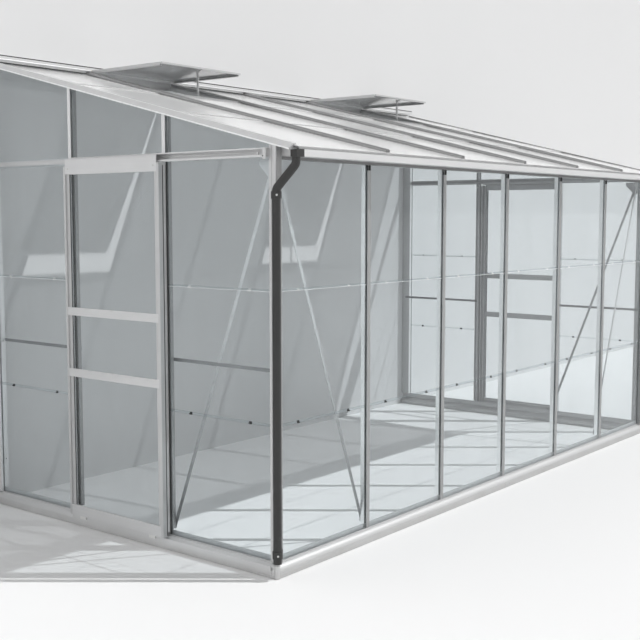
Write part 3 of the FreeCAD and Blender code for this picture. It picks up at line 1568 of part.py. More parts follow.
def make_shoes(side, name, near, far):
    """Plastic shoes in the bottom rail whose legs hang down on both sides of the floor guide's fin."""
    shoes = []
    shoulder = s.door_low + s.bottom_rail_height - s.door_rebate - 2 * s.door_skin
    fin = s.door_outer - s.guide_fin_reach + s.guide_metal / 2
    half_slot = s.guide_metal / 2 + s.shoe_slot_play
    low_depth = s.door_skin + s.shoe_side_play
    high_depth = s.door_depth - s.door_skin - s.shoe_side_play
    slot_top = GUIDE_FIN_TOP + s.shoe_slot_clear
    leg = half_slot + s.shoe_leg
    foot = s.door_low - s.shoe_drop
    outline = [
        (fin - leg, foot),
        (fin - leg, s.door_low),
        (low_depth, s.door_low),
        (low_depth, shoulder),
        (high_depth, shoulder),
        (high_depth, s.door_low),
        (fin + leg, s.door_low),
        (fin + leg, foot),
        (fin + half_slot, foot),
        (fin + half_slot, slot_top),
        (fin - half_slot, slot_top),
        (fin - half_slot, foot),
    ]
    for start in (near + s.shoe_inset, far - s.shoe_inset - s.shoe_length):
        body = new_body(f"door_{name}_shoe")
        pad(body, "XZ", start, start + s.shoe_length,
            loops=[across(outline, lambda depth, up: (door_x(side, depth), up))])
        shoes.append(body)
    group(f"door_{name}_shoes", shoes)


def along_x(item_name, side, outward, y, up, radius, length):
    """A cylinder along X that starts outward of a gable's glass and runs towards the inside."""
    low = sorted_ends(track_x(side, outward), track_x(side, outward - length))[0]
    return cylinder(item_name, (low, y, up), radius, length, Vector(0, 1, 0), 90)


def make_door_fixings(side, name, near, far):
    """Axle studs, the bolts of the top rail and the spring clips that hold the panes."""
    pieces = []
    plate = s.door_outer - s.door_skin
    inner = rib_middle() - s.wheel_width / 2 - s.play
    for _, y in wheel_spots():
        stud = along_x("axle", side, plate, y, wheel_height(), s.axle_radius, plate - inner)
        head = along_x("axle_head", side, inner, y, wheel_height(), s.axle_head_radius, s.axle_head_length)
        pieces.append(fuse("axle_stud", [stud, head]))
    for y in (near + s.door_bolt_inset, far - s.door_bolt_inset):
        pieces.append(along_x("rail_bolt", side, s.door_outer + s.door_bolt_head, y,
                              TOP_RAIL_LOW + s.door_bolt_rise, s.door_bolt_radius, s.door_bolt_head))
    middle = (near + far) / 2 - s.pane_clip_width / 2
    clip_x = sorted_ends(door_x(side, 0), door_x(side, -s.pane_clip_metal))[0]
    lows = [s.door_low + s.bottom_rail_height - s.pane_clip_height / 2,
            s.middle_rail_low + s.middle_rail_height - s.pane_clip_height / 2,
            s.middle_rail_high + s.middle_rail_height - s.pane_clip_height / 2,
            TOP_RAIL_LOW - s.pane_clip_height / 2]
    for low in lows:
        pieces.append(box("pane_clip", (clip_x, middle, low),
                          (s.pane_clip_metal, s.pane_clip_width, s.pane_clip_height)))
    group(f"door_{name}_fixings", pieces)


def make_tracks():
    """Door tracks along the gables, their end stops, and the guides on the sills."""
    stops = []
    guides = []
    metal = s.track_metal
    for side, name in ((-1, "left"), (1, "right")):
        back = s.bar_nose_proud
        web = back + metal
        rib = TRACK_LOW + s.track_rib_height
        bead_low = TRACK_LOW + s.track_bead_low
        bead_high = bead_low + s.track_bead_height
        outline = [
            (back, TRACK_LOW),
            (back, TRACK_HIGH),
            (s.track_cover_reach, TRACK_HIGH),
            (s.track_cover_reach, TRACK_HIGH - metal - s.track_cover_lip),
            (s.track_cover_reach - metal, TRACK_HIGH - metal - s.track_cover_lip),
            (s.track_cover_reach - metal, TRACK_HIGH - metal),
            (web, TRACK_HIGH - metal),
            (web, bead_high),
            (web + s.track_bead_proud, bead_high),
            (web + s.track_bead_proud, bead_low),
            (web, bead_low),
            (web, TRACK_LOW + metal),
            (s.track_rib_reach - metal, TRACK_LOW + metal),
            (s.track_rib_reach - metal, rib),
            (s.track_rib_reach, rib),
            (s.track_rib_reach, TRACK_LOW),
        ]
        start = FRONT + s.post_leg + s.play
        body = new_body(f"door_track_{name}")
        pad(body, "XZ", start, FRONT + DOOR_BACK - s.track_short,
            loops=[across(outline, lambda out, up: (track_x(side, out), up))])
        keep(body)
        wheels = [y for _, y in wheel_spots()]
        travel = DOOR_FRONT - s.door_open_front
        reach = s.wheel_flange_radius + s.stop_gap
        rib_inner = s.track_rib_reach - metal
        x = sorted_ends(track_x(side, rib_inner), track_x(side, rib_inner - s.stop_width))[0]
        for y in (wheels[0] - travel - reach - s.stop_length, wheels[1] + reach):
            stops.append(box("door_stop", (x, y, TRACK_LOW + metal), (s.stop_width, s.stop_length, s.stop_height)))
        x = sorted_ends(track_x(side, s.track_rib_reach), track_x(side, s.track_rib_reach + metal))[0]
        stops.append(box("track_bracket", (x, start, TRACK_LOW - s.bracket_drop),
                         (metal, s.bracket_width, s.track_height + s.bracket_drop)))
        shelf, face = s.guide_shelf_height, s.sill_reach
        guide = [
            (face, shelf - s.guide_plate_height),
            (face, shelf + s.guide_metal),
            (s.guide_fin_reach - s.guide_metal, shelf + s.guide_metal),
            (s.guide_fin_reach - s.guide_metal, GUIDE_FIN_TOP),
            (s.guide_fin_reach, GUIDE_FIN_TOP),
            (s.guide_fin_reach, shelf),
            (face + s.guide_metal, shelf),
            (face + s.guide_metal, shelf - s.guide_plate_height),
        ]
        body = new_body(f"door_guide_{name}")
        pad(body, "XZ", FRONT + s.guide_start, FRONT + DOOR_BACK,
            loops=[across(guide, lambda out, up: (track_x(side, out), up))])
        guides.append(body)
    group("door_stops", stops)
    group("door_floor_guides", guides)


def brace_line():
    """Run and drop between the centres of a brace's two fixings, its length and its lean from the vertical."""
    run = s.module_pitch - s.brace_start
    drop = BRACE_TOP - BRACE_FOOT
    length = Size(f"sqrt({run.text} * {run.text} + {drop.text} * {drop.text})", math.hypot(run.value, drop.value))
    lean = math.degrees(math.atan2(run.value, drop.value))
    return run, drop, length, Size(f"(atan2({run.text}; {drop.text}) / 1 deg)", lean)


def make_braces():
    """Flat diagonal braces inside the corner bays and the corner plates that their tops meet."""
    pieces = []
    run, drop, length, lean = brace_line()
    half = s.brace_width / 2
    over = half * drop / length
    rise = half * run / length
    for side in (-1, 1):
        x = gable_x(side, s.brace_start) + over - side * rise
        pieces.append(box("front_brace", (x, FRONT + BRACE_FACE, BRACE_TOP - side * rise + over),
                          (s.brace_width, s.brace_metal, length + s.brace_width), Vector(0, 1, 0),
                          180 + side * lean))
        x = sorted_ends(gable_x(side, BRACE_FACE), gable_x(side, BRACE_FACE + s.brace_metal))[0]
        pieces.append(box("gable_brace", (x, FRONT + s.brace_start + over - rise, BRACE_TOP + rise + over),
                          (s.brace_metal, s.brace_width, length + s.brace_width), Vector(1, 0, 0), 180 + lean))
        size, top = s.gusset_size, GUSSET_TOP
        body = new_body("front_gusset")
        start = FRONT + INNER_FACE
        low_x = gable_x(side, SEAT)
        high_x = gable_x(side, SEAT + size)
        bevel_x = gable_x(side, SEAT + size / 4)
        pad(body, "XZ", start, start + s.gusset_metal,
            loops=[[(low_x, top), (high_x, top), (high_x, top - size / 4), (bevel_x, top - size),
                    (low_x, top - size)]])
        pieces.append(body)
        body = new_body("gable_gusset")
        ends = sorted_ends(gable_x(side, INNER_FACE), gable_x(side, INNER_FACE + s.gusset_metal))
        near = FRONT + BRACE_FACE + s.brace_metal + s.play
        pad(body, "YZ", *ends,
            loops=[[(near, top), (near + size, top), (near + size, top - size / 4), (near + size / 4, top - size),
                    (near, top - size)]])
        pieces.append(body)
    group("braces", pieces)


def make_seals():
    """Glazing strips on the seats of the bars, behind the glass."""
    strips = []
    first = s.bar_web / 2
    foot = BAR_CHANNEL_FOOT
    front_spots = [-HALF + CORE, HALF - CORE - s.seal_width]
    for bay in range(1, FRONT_BAYS):
        centre = -HALF + bay * s.module_pitch
        front_spots += [centre + first, centre - first - s.seal_width]
    for x in front_spots:
        strips.append(box("front_seal", (x, FRONT + SEAT - s.seal_thickness, foot),
                          (s.seal_width, s.seal_thickness, BAR_TOP - foot)))
    gable_spots = [FRONT + CORE, FRONT + s.module_pitch - first - s.seal_width,
                   FRONT + (GABLE_BAYS - 1) * s.module_pitch + first]
    for side in (-1, 1):
        x = sorted_ends(gable_x(side, SEAT - s.seal_thickness), gable_x(side, SEAT))[0]
        for y in gable_spots:
            strips.append(box("gable_seal", (x, y, foot), (s.seal_thickness, s.seal_width, GABLE_BAR_TOP - foot)))
    y, up = slope_point(as_size(0), ROOF_SEAT)
    roof_spots = [-HALF + s.end_bar_web, HALF - s.end_bar_web - s.seal_width]
    for bay in range(1, FRONT_BAYS):
        centre = -HALF + bay * s.module_pitch
        roof_spots += [centre + first, centre - first - s.seal_width]
    for x in roof_spots:
        strips.append(box("roof_seal", (x, y, up), (s.seal_width, slope_length(VENT_SILL_FRONT), s.seal_thickness),
                          Vector(1, 0, 0), s.roof_pitch))
    group("glazing_seals", strips)


def make_lap_clips():
    """Small bent strips that hold each upper pane on the one below it."""
    width, metal, hook = s.clip_width.value, s.clip_metal.value, s.clip_hook.value
    glass, gap, lap, play = (item.value for item in (s.pane_thickness, s.lap_gap, s.lap_length, s.play))
    shelf = -play - metal
    pieces = (
        ((-play - metal, shelf), (metal, hook - shelf)),
        ((-play - metal, shelf), (glass + play + metal + (gap + metal) / 2, metal)),
        ((glass + (gap - metal) / 2, shelf), (metal, lap + play + metal - shelf)),
    )
    solids = []
    for (inward, up), (deep, tall) in pieces:
        solids.append(Part.makeBox(width, deep, tall, Vector(-width / 2, inward, up)))
    clip = solids[0].fuse(solids[1:]).removeSplitter()
    clips = []
    for bay in range(FRONT_BAYS):
        centre = (-HALF + (bay + 0.5) * s.module_pitch).value
        for hand in (-1, 1):
            x = centre + hand * (s.module_pitch / 2 - s.clip_inset).value
            for up in (s.lap_one_height.value, s.lap_two_height.value):
                clips.append(clip.translated(Vector(x, FRONT.value, up)))
    for side in (-1, 1):
        turned = clip.rotated(Vector(), Vector(0, 0, 1), side * 90)
        for bay in (0, GABLE_BAYS - 1):
            centre = (FRONT + (bay + 0.5) * s.module_pitch).value
            for hand in (-1, 1):
                y = centre + hand * (s.module_pitch / 2 - s.clip_inset).value
                for up in (s.lap_one_height.value, s.lap_two_height.value):
                    clips.append(turned.translated(Vector(gable_x(side, 0).value, y, up)))
    item = doc.addObject("Part::Feature", "lap_clips")
    item.Shape = Part.makeCompound(clips)
    keep(item)


def bolt_stack(spot, way, braced):
    """A bolt head on a bar's inner face, or a spacer and a head with a brace clamped between them."""
    radius, head = s.bolt_radius.value, s.bolt_head.value
    if not braced:
        return [Part.makeCylinder(radius, head, spot, way)]
    spacer = s.gusset_metal.value
    outer = spot + way * (spacer + s.brace_metal.value)
    return [Part.makeCylinder(radius, spacer, spot, way), Part.makeCylinder(radius, head, outer, way)]


def make_bolts():
    """Bolt heads on the inner faces of the bars, under the roof bars, and the screws of the pipe sleeves."""
    radius, head = s.bolt_radius.value, s.bolt_head.value
    heads = []
    for bay in range(1, FRONT_BAYS):
        x = (-HALF + bay * s.module_pitch).value
        for up in (BRACE_FOOT, BEAM_LOW - s.bolt_eave_drop):
            spot = Vector(x, (FRONT + INNER_FACE).value, up.value)
            braced = bay in (1, FRONT_BAYS - 1) and up is BRACE_FOOT
            heads += bolt_stack(spot, Vector(0, 1, 0), braced)
        for along in (slope_length(INNER_FACE + s.bolt_eave_drop), slope_length(DEPTH - 2 * s.bolt_eave_drop)):
            y, up = slope_point(along, ROOF_CHANNEL)
            way = Vector(0, SIN.value, -COS.value)
            heads.append(Part.makeCylinder(radius, head, Vector(x, y.value, up.value), way))
    for side in (-1, 1):
        for bay in range(1, GABLE_BAYS):
            y = (FRONT + bay * s.module_pitch).value
            for up in (BRACE_FOOT, RAIL_MIDDLE - 2 * s.bolt_eave_drop):
                spot = Vector(gable_x(side, INNER_FACE).value, y, up.value)
                heads += bolt_stack(spot, Vector(-side, 0, 0), bay == 1 and up is BRACE_FOOT)
        x, y = (item.value for item in pipe_centre(side))
        way = Vector(side, -1, 0).normalize()
        reach = (s.pipe_radius + s.play + s.sleeve_wall).value
        for low in (SLEEVE_UPPER, s.sleeve_lower):
            spot = Vector(x, y, (low + s.sleeve_length / 2).value) + way * (reach - s.play.value)
            screw = Part.makeCylinder(s.sleeve_screw_radius.value, s.sleeve_screw_height.value, spot, way)
            sleeve = Part.makeCylinder(reach, s.sleeve_length.value, Vector(x, y, low.value))
            heads.append(screw.cut(sleeve))
    item = doc.addObject("Part::Feature", "frame_bolts")
    item.Shape = Part.makeCompound(heads)
    keep(item)


def check_model():
    """Stops before anything is written if an object failed or a sub-part's shape is not sound."""
    for item in doc.Objects:
        if "Invalid" in item.State or "Error" in item.State:
            raise RuntimeError(f"{item.Name} failed: {item.State}")
    for item in NODES:
        if item.Shape.isNull() or not item.Shape.isValid() or not item.Shape.Solids:
            raise RuntimeError(f"{item.Label} has no sound shape")


def main():
    make_sills()
    make_posts()
    make_wall_bars()
    make_gable_rails()
    make_eave()
    make_gutter()
    make_outlets()
    make_pipes()
    make_roof_bars()
    make_ridge()
    make_wall_glass()
    make_roof_glass()
    make_vent_sills()
    for side, name in ((-1, "left"), (1, "right")):
        make_vent(side, name)
        make_door(side, name)
    make_tracks()
    make_braces()
    make_seals()
    make_lap_clips()
    make_bolts()
    doc.recompute()
    check_model()
    os.makedirs("parts", exist_ok=True)
    for item in NODES:
        item.Shape.exportStep(f"parts/{item.Label}.step")
        print(item.Label, len(item.Shape.Solids), round(item.Shape.Volume))


main()
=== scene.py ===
"""Looks of a lean-to greenhouse: mill-finish aluminium, clear lapped glass and black rain water pipes."""

import json
import math

import bpy
import numpy as np
from bpy.props import FloatProperty, FloatVectorProperty, PointerProperty
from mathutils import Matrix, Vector


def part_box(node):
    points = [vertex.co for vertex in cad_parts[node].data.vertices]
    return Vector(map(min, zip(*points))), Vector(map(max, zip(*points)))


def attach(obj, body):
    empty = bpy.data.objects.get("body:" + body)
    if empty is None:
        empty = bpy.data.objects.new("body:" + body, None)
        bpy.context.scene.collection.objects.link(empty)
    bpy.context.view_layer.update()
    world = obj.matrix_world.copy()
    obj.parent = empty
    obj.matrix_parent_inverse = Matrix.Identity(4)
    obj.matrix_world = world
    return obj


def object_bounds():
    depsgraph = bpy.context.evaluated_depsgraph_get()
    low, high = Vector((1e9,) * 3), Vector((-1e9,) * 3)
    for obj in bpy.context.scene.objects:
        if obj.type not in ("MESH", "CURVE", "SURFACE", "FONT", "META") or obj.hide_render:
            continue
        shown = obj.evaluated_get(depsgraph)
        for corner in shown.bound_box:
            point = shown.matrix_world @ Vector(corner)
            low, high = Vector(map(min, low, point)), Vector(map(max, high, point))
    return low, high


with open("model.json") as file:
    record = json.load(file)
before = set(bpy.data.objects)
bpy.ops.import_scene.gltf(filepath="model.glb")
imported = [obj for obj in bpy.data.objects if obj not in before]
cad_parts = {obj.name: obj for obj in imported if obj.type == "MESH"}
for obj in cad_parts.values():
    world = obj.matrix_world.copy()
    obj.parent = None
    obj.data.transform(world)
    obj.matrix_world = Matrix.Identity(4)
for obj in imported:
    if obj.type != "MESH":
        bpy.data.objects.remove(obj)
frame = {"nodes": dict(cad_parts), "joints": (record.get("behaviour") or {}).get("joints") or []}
CAD_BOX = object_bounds()
NODES = frame["nodes"]
JOINTS = {joint["name"]: joint for joint in frame["joints"]}

bl_info = {
    "name": "Lean-to greenhouse",
    "version": (1, 0, 0),
    "blender": (4, 5, 0),
    "location": "3D View > Sidebar > Greenhouse",
    "description": "Dresses the frame of a lean-to greenhouse with metal, glass and plastic and small parts",
    "category": "Object",
}

# Driving dimensions, in metres. FRONT is the outer face of the front glass, and SIDE that of the gables'
# glass. Depths below are counted from FRONT towards the back, and heights from the ground.
FRONT = -0.88025
SIDE = 1.860
BAY = 0.62
BAYS = 6
PITCH = math.radians(13.94)
UPSLOPE = np.array((0.0, math.cos(PITCH), math.sin(PITCH)))
RIDGE_LINES = tuple(BAY * step for step in range(-2, 3))
DOOR_BARS = (BAY, 2 * BAY)
GABLES = (("left", -1.0), ("right", 1.0))
FULL_TURN = 2.0 * math.pi

# Node groups by the way their extrusions run, for the fine lines that the die leaves along each length.
UPRIGHT = ("corner_post_left", "corner_post_right", "front_bars", "gable_bars", "gable_upper_bars")
WALL_SIDE = ("wall_posts",)
STILES = ("door_left_stiles", "door_right_stiles")
LENGTHWISE = ("sill_front_left", "sill_front_right", "sill_splice", "vent_sills",
              "vent_left_hinge_rail", "vent_right_hinge_rail")
WEATHER = ("gutter", "ridge_plate")
CROSSWISE = ("gable_eave_rails", "vent_left_frame", "vent_right_frame")
FACING = ("sill_gable_left", "sill_gable_right", "door_left_rails", "door_right_rails", "door_track_left",
          "door_track_right", "door_floor_guides")
SLOPING = ("roof_bars",)
END_BARS = ("roof_end_bars",)
CAPS = ("roof_bar_caps",)
BEAM = ("eave_beam",)
FLAT = ("vent_left_stay", "vent_right_stay", "corner_feet", "door_stops")
BRACES = ("braces",)
SHADED = ("gable_cross_rails",)
BLACK = ("gutter_outlets", "pipe_elbows", "pipe_sleeves", "downpipe_left", "downpipe_right")
GREY = ("door_left_shoes", "door_right_shoes")
STEEL = ("frame_bolts", "door_left_fixings", "door_right_fixings")
CLIPS = ("lap_clips",)
NYLON = ("door_left_wheel_front", "door_left_wheel_back", "door_right_wheel_front", "door_right_wheel_back")
SEALS = ("glazing_seals",)
# Panes, each with the direction that its faces look in.
PANES = {
    "front_glass": (0.0, 1.0, 0.0),
    "gable_glass": (1.0, 0.0, 0.0),
    "gable_top_glass": (1.0, 0.0, 0.0),
    "door_left_glass": (1.0, 0.0, 0.0),
    "door_right_glass": (1.0, 0.0, 0.0),
    "roof_glass": (0.0, -math.sin(PITCH), math.cos(PITCH)),
    "vent_left_glass": (0.0, 0.0, 1.0),
    "vent_right_glass": (0.0, 0.0, 1.0),
}

# Die lines: how fine their noise is along a length and across it, by the way the length runs.
ALONG, ACROSS = 2.5, 420.0
LINES_UP = (ACROSS, ACROSS, ALONG)
LINES_X = (ALONG, ACROSS, ACROSS)
LINES_Y = (ACROSS, ALONG, ACROSS)
LINES_SHORT = (160.0, 160.0, 40.0)
LINES_CAP_ENDS = (90.0, 90.0, 90.0)
LINE_DETAIL, LINE_ROUGHNESS = 4.0, 0.62
LINE_DEPTH = 0.0002
LEVEL = (0.0, 0.0, 0.0)
SLOPE = (-PITCH, 0.0, 0.0)

# Tones of the aluminium against its own colour.
# Of these, the front and nose tones are painted shade and a painted highlight; the dull tone darkens the
# lower braces and paints shade on the gables' inner faces.
CLOUD_TONE, DULL_TONE, FRONT_SHADE_TONE, NOSE_HIGHLIGHT_TONE = 0.8, 0.3, 0.35, 1.3
GLOSSIER = 0.45
# Spans of a normal's part over which a face counts as turned that way.
STRAIGHT_OUT = (0.9, 0.99)
TOWARDS_TOP = (0.35, 0.95)
TOWARDS_FRONT = (0.5, 0.95)
INTO_HOUSE = (0.3, 1.2)
# Spans of a place over which one finish goes over into another.
FOOT_SPAN = (0.2, 1.3)
GABLE_SPAN = (1.72, 1.78)
BEHIND_GLASS = (FRONT + 0.0002, FRONT + 0.0012)
FRONT_BARS_END = (1.60, 1.62)
NOSE_START = (SIDE + 0.0035, SIDE + 0.0042)
NOSE_END = (SIDE + 0.005, SIDE + 0.006)
# Height between the lower and the upper laps, where edges and clips change from painted shade to painted
# highlight.
LAP_SPAN = (0.8, 1.0)

# Glass: a pane lies flat if its normal points up more than this.
LYING = 0.5
EDGE_TURN = (0.5, 0.9)
UNDER_TURN = (0.4, -0.4)
FILM_STRETCH, FILM_SCALE, FILM_SPAN = (3.0, 3.0, 0.8), 2.0, (0.4, 0.75)
RIPPLE_DEPTH = 0.001
SLANT_POWER = 3.0
UPPER_EDGE_CLEAR = 0.9

# Plastic: fine grain and broad blotches, and how the blotches change tone and roughness.
GRAIN_SCALE, GRAIN_DEPTH = 900.0, 0.0002
BLOTCH_SCALE, BLOTCH_DARK, BLOTCH_LIGHT, BLOTCH_ROUGH = 14.0, 0.82, 1.2, 0.14
# Steel: size of the crystals, and how they change tone and roughness.
CRYSTAL_SCALE, CRYSTAL_LIGHT, CRYSTAL_DARK, CRYSTAL_ROUGH = 260.0, 1.05, 0.86, 0.12
# The clip tone brightens the clips at the upper laps a little: a painted highlight.
CLIP_GRAIN, CLIP_HIGHLIGHT_TONE, CLIP_METALLIC, CLIP_ROUGH, CLIP_ROUGH_CHANGE = 400.0, 1.1, 0.4, 0.35, 0.2

# Small parts, in metres. A strip's half is half its width on the seat, and its rise how far it stands out.
PART_GAP = 0.0003
CAP_TIP = (FRONT - 0.099, 1.7149)
CAP_HALF, CAP_RISE, CAP_STEPS = 0.0150, 0.0135, 25
CAP_RINGS = ((0.0, 1.0), (0.5, 1.0), (0.8, 0.94), (1.0, 0.8))
NOSE_HALF = 0.010
GASKET_RISE, GASKET_FOOT, GASKET_LENGTH = 0.0032, 0.060, 1.60
BRUSH_OUT, BRUSH_DEPTHS = SIDE + 0.0046, (0.6125, 1.2310)
BRUSH_HALF, BRUSH_FOOT, BRUSH_LENGTH = 0.0009, 0.070, 1.601
PANE_SEAL_OUT, PANE_SEAL_DEPTH, PANE_SEAL_FOOT = 1.9026, 1.1940, 0.104
PANE_SEAL_HALF, PANE_SEAL_RISE, PANE_SEAL_LENGTH = 0.0028, 0.0022, 1.527
STILE_SEAL_OUT, STILE_SEAL_DEPTH, STILE_SEAL_FOOT = 1.8865, 0.6039, 0.058
STILE_SEAL_HALF, STILE_SEAL_RISE, STILE_SEAL_LENGTH = 0.0022, 0.0016, 1.60
# Closures along the house: depth, height of the middle, and width.
EAVE_CLOSURE = (-0.1036, 1.7064, 0.0136)
RIDGE_SEAL = (1.8500, 2.2366, 0.0050)
RIDGE_CLOSURE = (1.8516, 2.2072, 0.0140)
RIDGE_JOINT = (1.8500, 2.2012, 0.0042)
CLOSURE_RISE, EAVE_REACH, RIDGE_REACH = 0.0012, 1.8420, 1.878
# Bays of the ridge that hold no vent: start and length.
OPEN_BAYS = ((-1.838, 0.583), (-0.604, 0.588), (0.016, 0.588), (1.256, 0.583))
UPPER_LAP, BEAD_HALF, BEAD_RISE = 1.1462, 0.0011, 0.0012
FRONT_BEAD_START, FRONT_BEAD_LENGTH = 0.015, 0.590
GABLE_BEADS = ((0.018, 0.588), (1.255, 0.560))
BAR_TOP_FOOT, BAR_TOP_LENGTH, BAR_TOP_HALF, BAR_TOP_RISE = 1.6400, 0.0225, 0.0114, 0.0082
BAR_TOP_GAP, BAR_TOP_STEPS = 0.0006, 13
BAR_TOP_RINGS = ((0.0, 0.85), (0.08, 1.0), (0.92, 1.0), (1.0, 0.9))
HINGE_END_GAP, HINGE_END_RADIUS, HINGE_END_LENGTH = 0.0002, 0.0075, 0.006
HINGE_END_RINGS = ((0.0, 0.75), (0.25, 1.0), (0.6, 1.0), (0.9, 0.75), (1.0, 0.4))
INSIDE_OUT, INSIDE_HEIGHT, INSIDE_HALF, INSIDE_RISE = SIDE - 0.0087, 1.6925, 0.0170, 0.0018
INSIDE_BAYS, INSIDE_STEPS = ((0.035, 0.569), (0.636, 0.588), (1.256, 0.566)), 7
SCREW_OUT, SCREW_HEIGHT, SCREW_DEPTHS = 1.8980, 1.676, (0.030, 1.200)
SCREW_RADIUS, SCREW_RISE = 0.0036, 0.0028
SCREW_RINGS = ((0.0, 1.0), (0.45, 1.0), (0.8, 0.8), (1.0, 0.45))

# Stage. Distances from the middle over which floor and wall fade into the backdrop, and soft-edged areas.
FADE = (9.0, 30.0)
GROUND, REACH, WALL_HEIGHT, WALL_GAP, SHEET_STEPS = -0.002, 40.0, 30.0, 0.004, 9
# The floor's sides and front bound a painted light on the floor inside the house; the wall's sides, top and
# foot bound a painted shade on the wall behind the glass, at the wall tone.
FLOOR_SIDES, FLOOR_FRONT = (1.70, 1.95), (FRONT - 0.1, FRONT + 0.1)
WALL_SIDES, WALL_TOP, WALL_FOOT, WALL_SHADE_TONE = (1.75, 1.9), (2.05, 2.2), (0.3, 1.5), 0.4
KEY_PLACE, KEY_ANGLE = (4.8, -6.1, 10.0), 0.012
SIDE_PLACE, SIDE_ANGLE = (-8.0, 1.5, 5.0), 1.3
CAMERA_PLACE, CAMERA_TILT, CAMERA_TURN, SENSOR = (-5.04633, -3.6284, 1.44121), 84.50228, -51.58989, 36.0


class Wire:
    """An output of a shader node. Arithmetic on it adds the Math nodes that work it out."""

    def __init__(self, paint, output):
        self.paint = paint
        self.output = output

    def math(self, operation, *others):
        values = dict(enumerate((self, *others)))
        return self.paint.node("ShaderNodeMath", {"operation": operation}, values)

    def __add__(self, other):
        return self.math("ADD", other)

    def __radd__(self, other):
        return self.math("ADD", other)

    def __sub__(self, other):
        return self.math("SUBTRACT", other)

    def __rsub__(self, other):
        return (self * -1).math("ADD", other)

    def __mul__(self, other):
        return self.math("MULTIPLY", other)

    def __rmul__(self, other):
        return self.math("MULTIPLY", other)

    def __pow__(self, other):
        return self.math("POWER", other)

    def __abs__(self):
        return self.math("ABSOLUTE")

    def step(self, low, high):
        """0 below low, 1 above high, and smooth between them."""
        settings = {"interpolation_type": "SMOOTHSTEP"}
        values = {"Value": self, "From Min": low, "From Max": high}
        return self.paint.node("ShaderNodeMapRange", settings, values)

    def fade(self, low, high):
        """1 below low, 0 above high, and smooth between them."""
        return 1.0 - self.step(low, high)


class Paint:
    """A node material, or the world, under construction."""

    def __init__(self, name, world=None):
        self.owner = world or bpy.data.materials.new(name)
        self.owner.use_nodes = True
        self.tree = self.owner.node_tree
        self.tree.nodes.clear()

    def node(self, kind, settings=None, values=None, output=0):
        """Adds a node, gives it its settings first and then the values or links of its sockets."""
        node = self.tree.nodes.new(kind)
        for name, value in (settings or {}).items():
            setattr(node, name, value)
        for name, value in (values or {}).items():
            if isinstance(value, Wire):
                self.tree.links.new(value.output, node.inputs[name])
            else:
                node.inputs[name].default_value = value
        return Wire(self, node.outputs[output])

    def place(self):
        """Object coordinates, which are the row frame's metres for every piece."""
        return self.node("ShaderNodeTexCoord", output="Object")

    def stretched(self, scale, turn=LEVEL):
        """Object coordinates turned and then scaled, for a pattern that runs along a piece."""
        settings = {"vector_type": "POINT"}
        turned = self.node("ShaderNodeMapping", settings, {"Vector": self.place(), "Rotation": turn})
        return self.node("ShaderNodeMapping", settings, {"Vector": turned, "Scale": scale})

    def noise(self, vector, scale, detail=3.0, roughness=0.5):
        values = {"Vector": vector, "Scale": scale, "Detail": detail, "Roughness": roughness}
        return self.node("ShaderNodeTexNoise", {"noise_dimensions": "3D"}, values)

    def blend(self, factor, first, second):
        """Mixes two colours by a factor."""
        values = {0: factor, 6: first, 7: second}
        return self.node("ShaderNodeMix", {"data_type": "RGBA"}, values, output=2)

    def layers(self, factor, first, second):
        """Mixes two shaders by a factor."""
        return self.node("ShaderNodeMixShader", None, {0: factor, 1: first, 2: second})

    def bump(self, height, strength, distance):
        values = {"Height": height, "Strength": strength, "Distance": distance}
        return self.node("ShaderNodeBump", None, values)

    def split(self, vector):
        """The three parts of a vector."""
        parts = self.node("ShaderNodeSeparateXYZ", None, {0: vector})
        outputs = parts.output.node.outputs
        return [Wire(self, outputs[index]) for index in range(3)]

    def surface(self, values):
        return self.node("ShaderNodeBsdfPrincipled", None, values)

    def finish(self, shader, kind="ShaderNodeOutputMaterial"):
        end = self.tree.nodes.new(kind)
        self.tree.links.new(shader.output, end.inputs["Surface"])
        return self.owner


def opaque(colour):
    """A colour with its alpha, from a colour property."""
    return (*colour[:3], 1.0)


def scaled(colour, factor):
    """A colour made lighter or darker, with its alpha."""
    return (*[part * factor for part in colour[:3]], 1.0)


def wear(nodes, material):
    """Puts a material on every slot of some frame nodes."""
    for node in nodes:
        thing = NODES[node]
        if not thing.material_slots:
            thing.data.materials.append(None)
        for place in thing.material_slots:
            place.material = material


def inner_faces(normal, x):
    """1 on the faces of both gables that look into the house, 0 elsewhere."""
    inward = (normal[0] * x * -1.0).step(*INTO_HOUSE)
    return inward * abs(x).step(*GABLE_SPAN)


def upright_parts(x, y):
    """Where the front bars stand behind the front glass, and where the gable bars' noses face outwards."""
    behind = y.step(*BEHIND_GLASS) * abs(x).fade(*FRONT_BARS_END)
    nose = abs(x).step(*NOSE_START) * abs(x).fade(*NOSE_END)
    return behind, nose


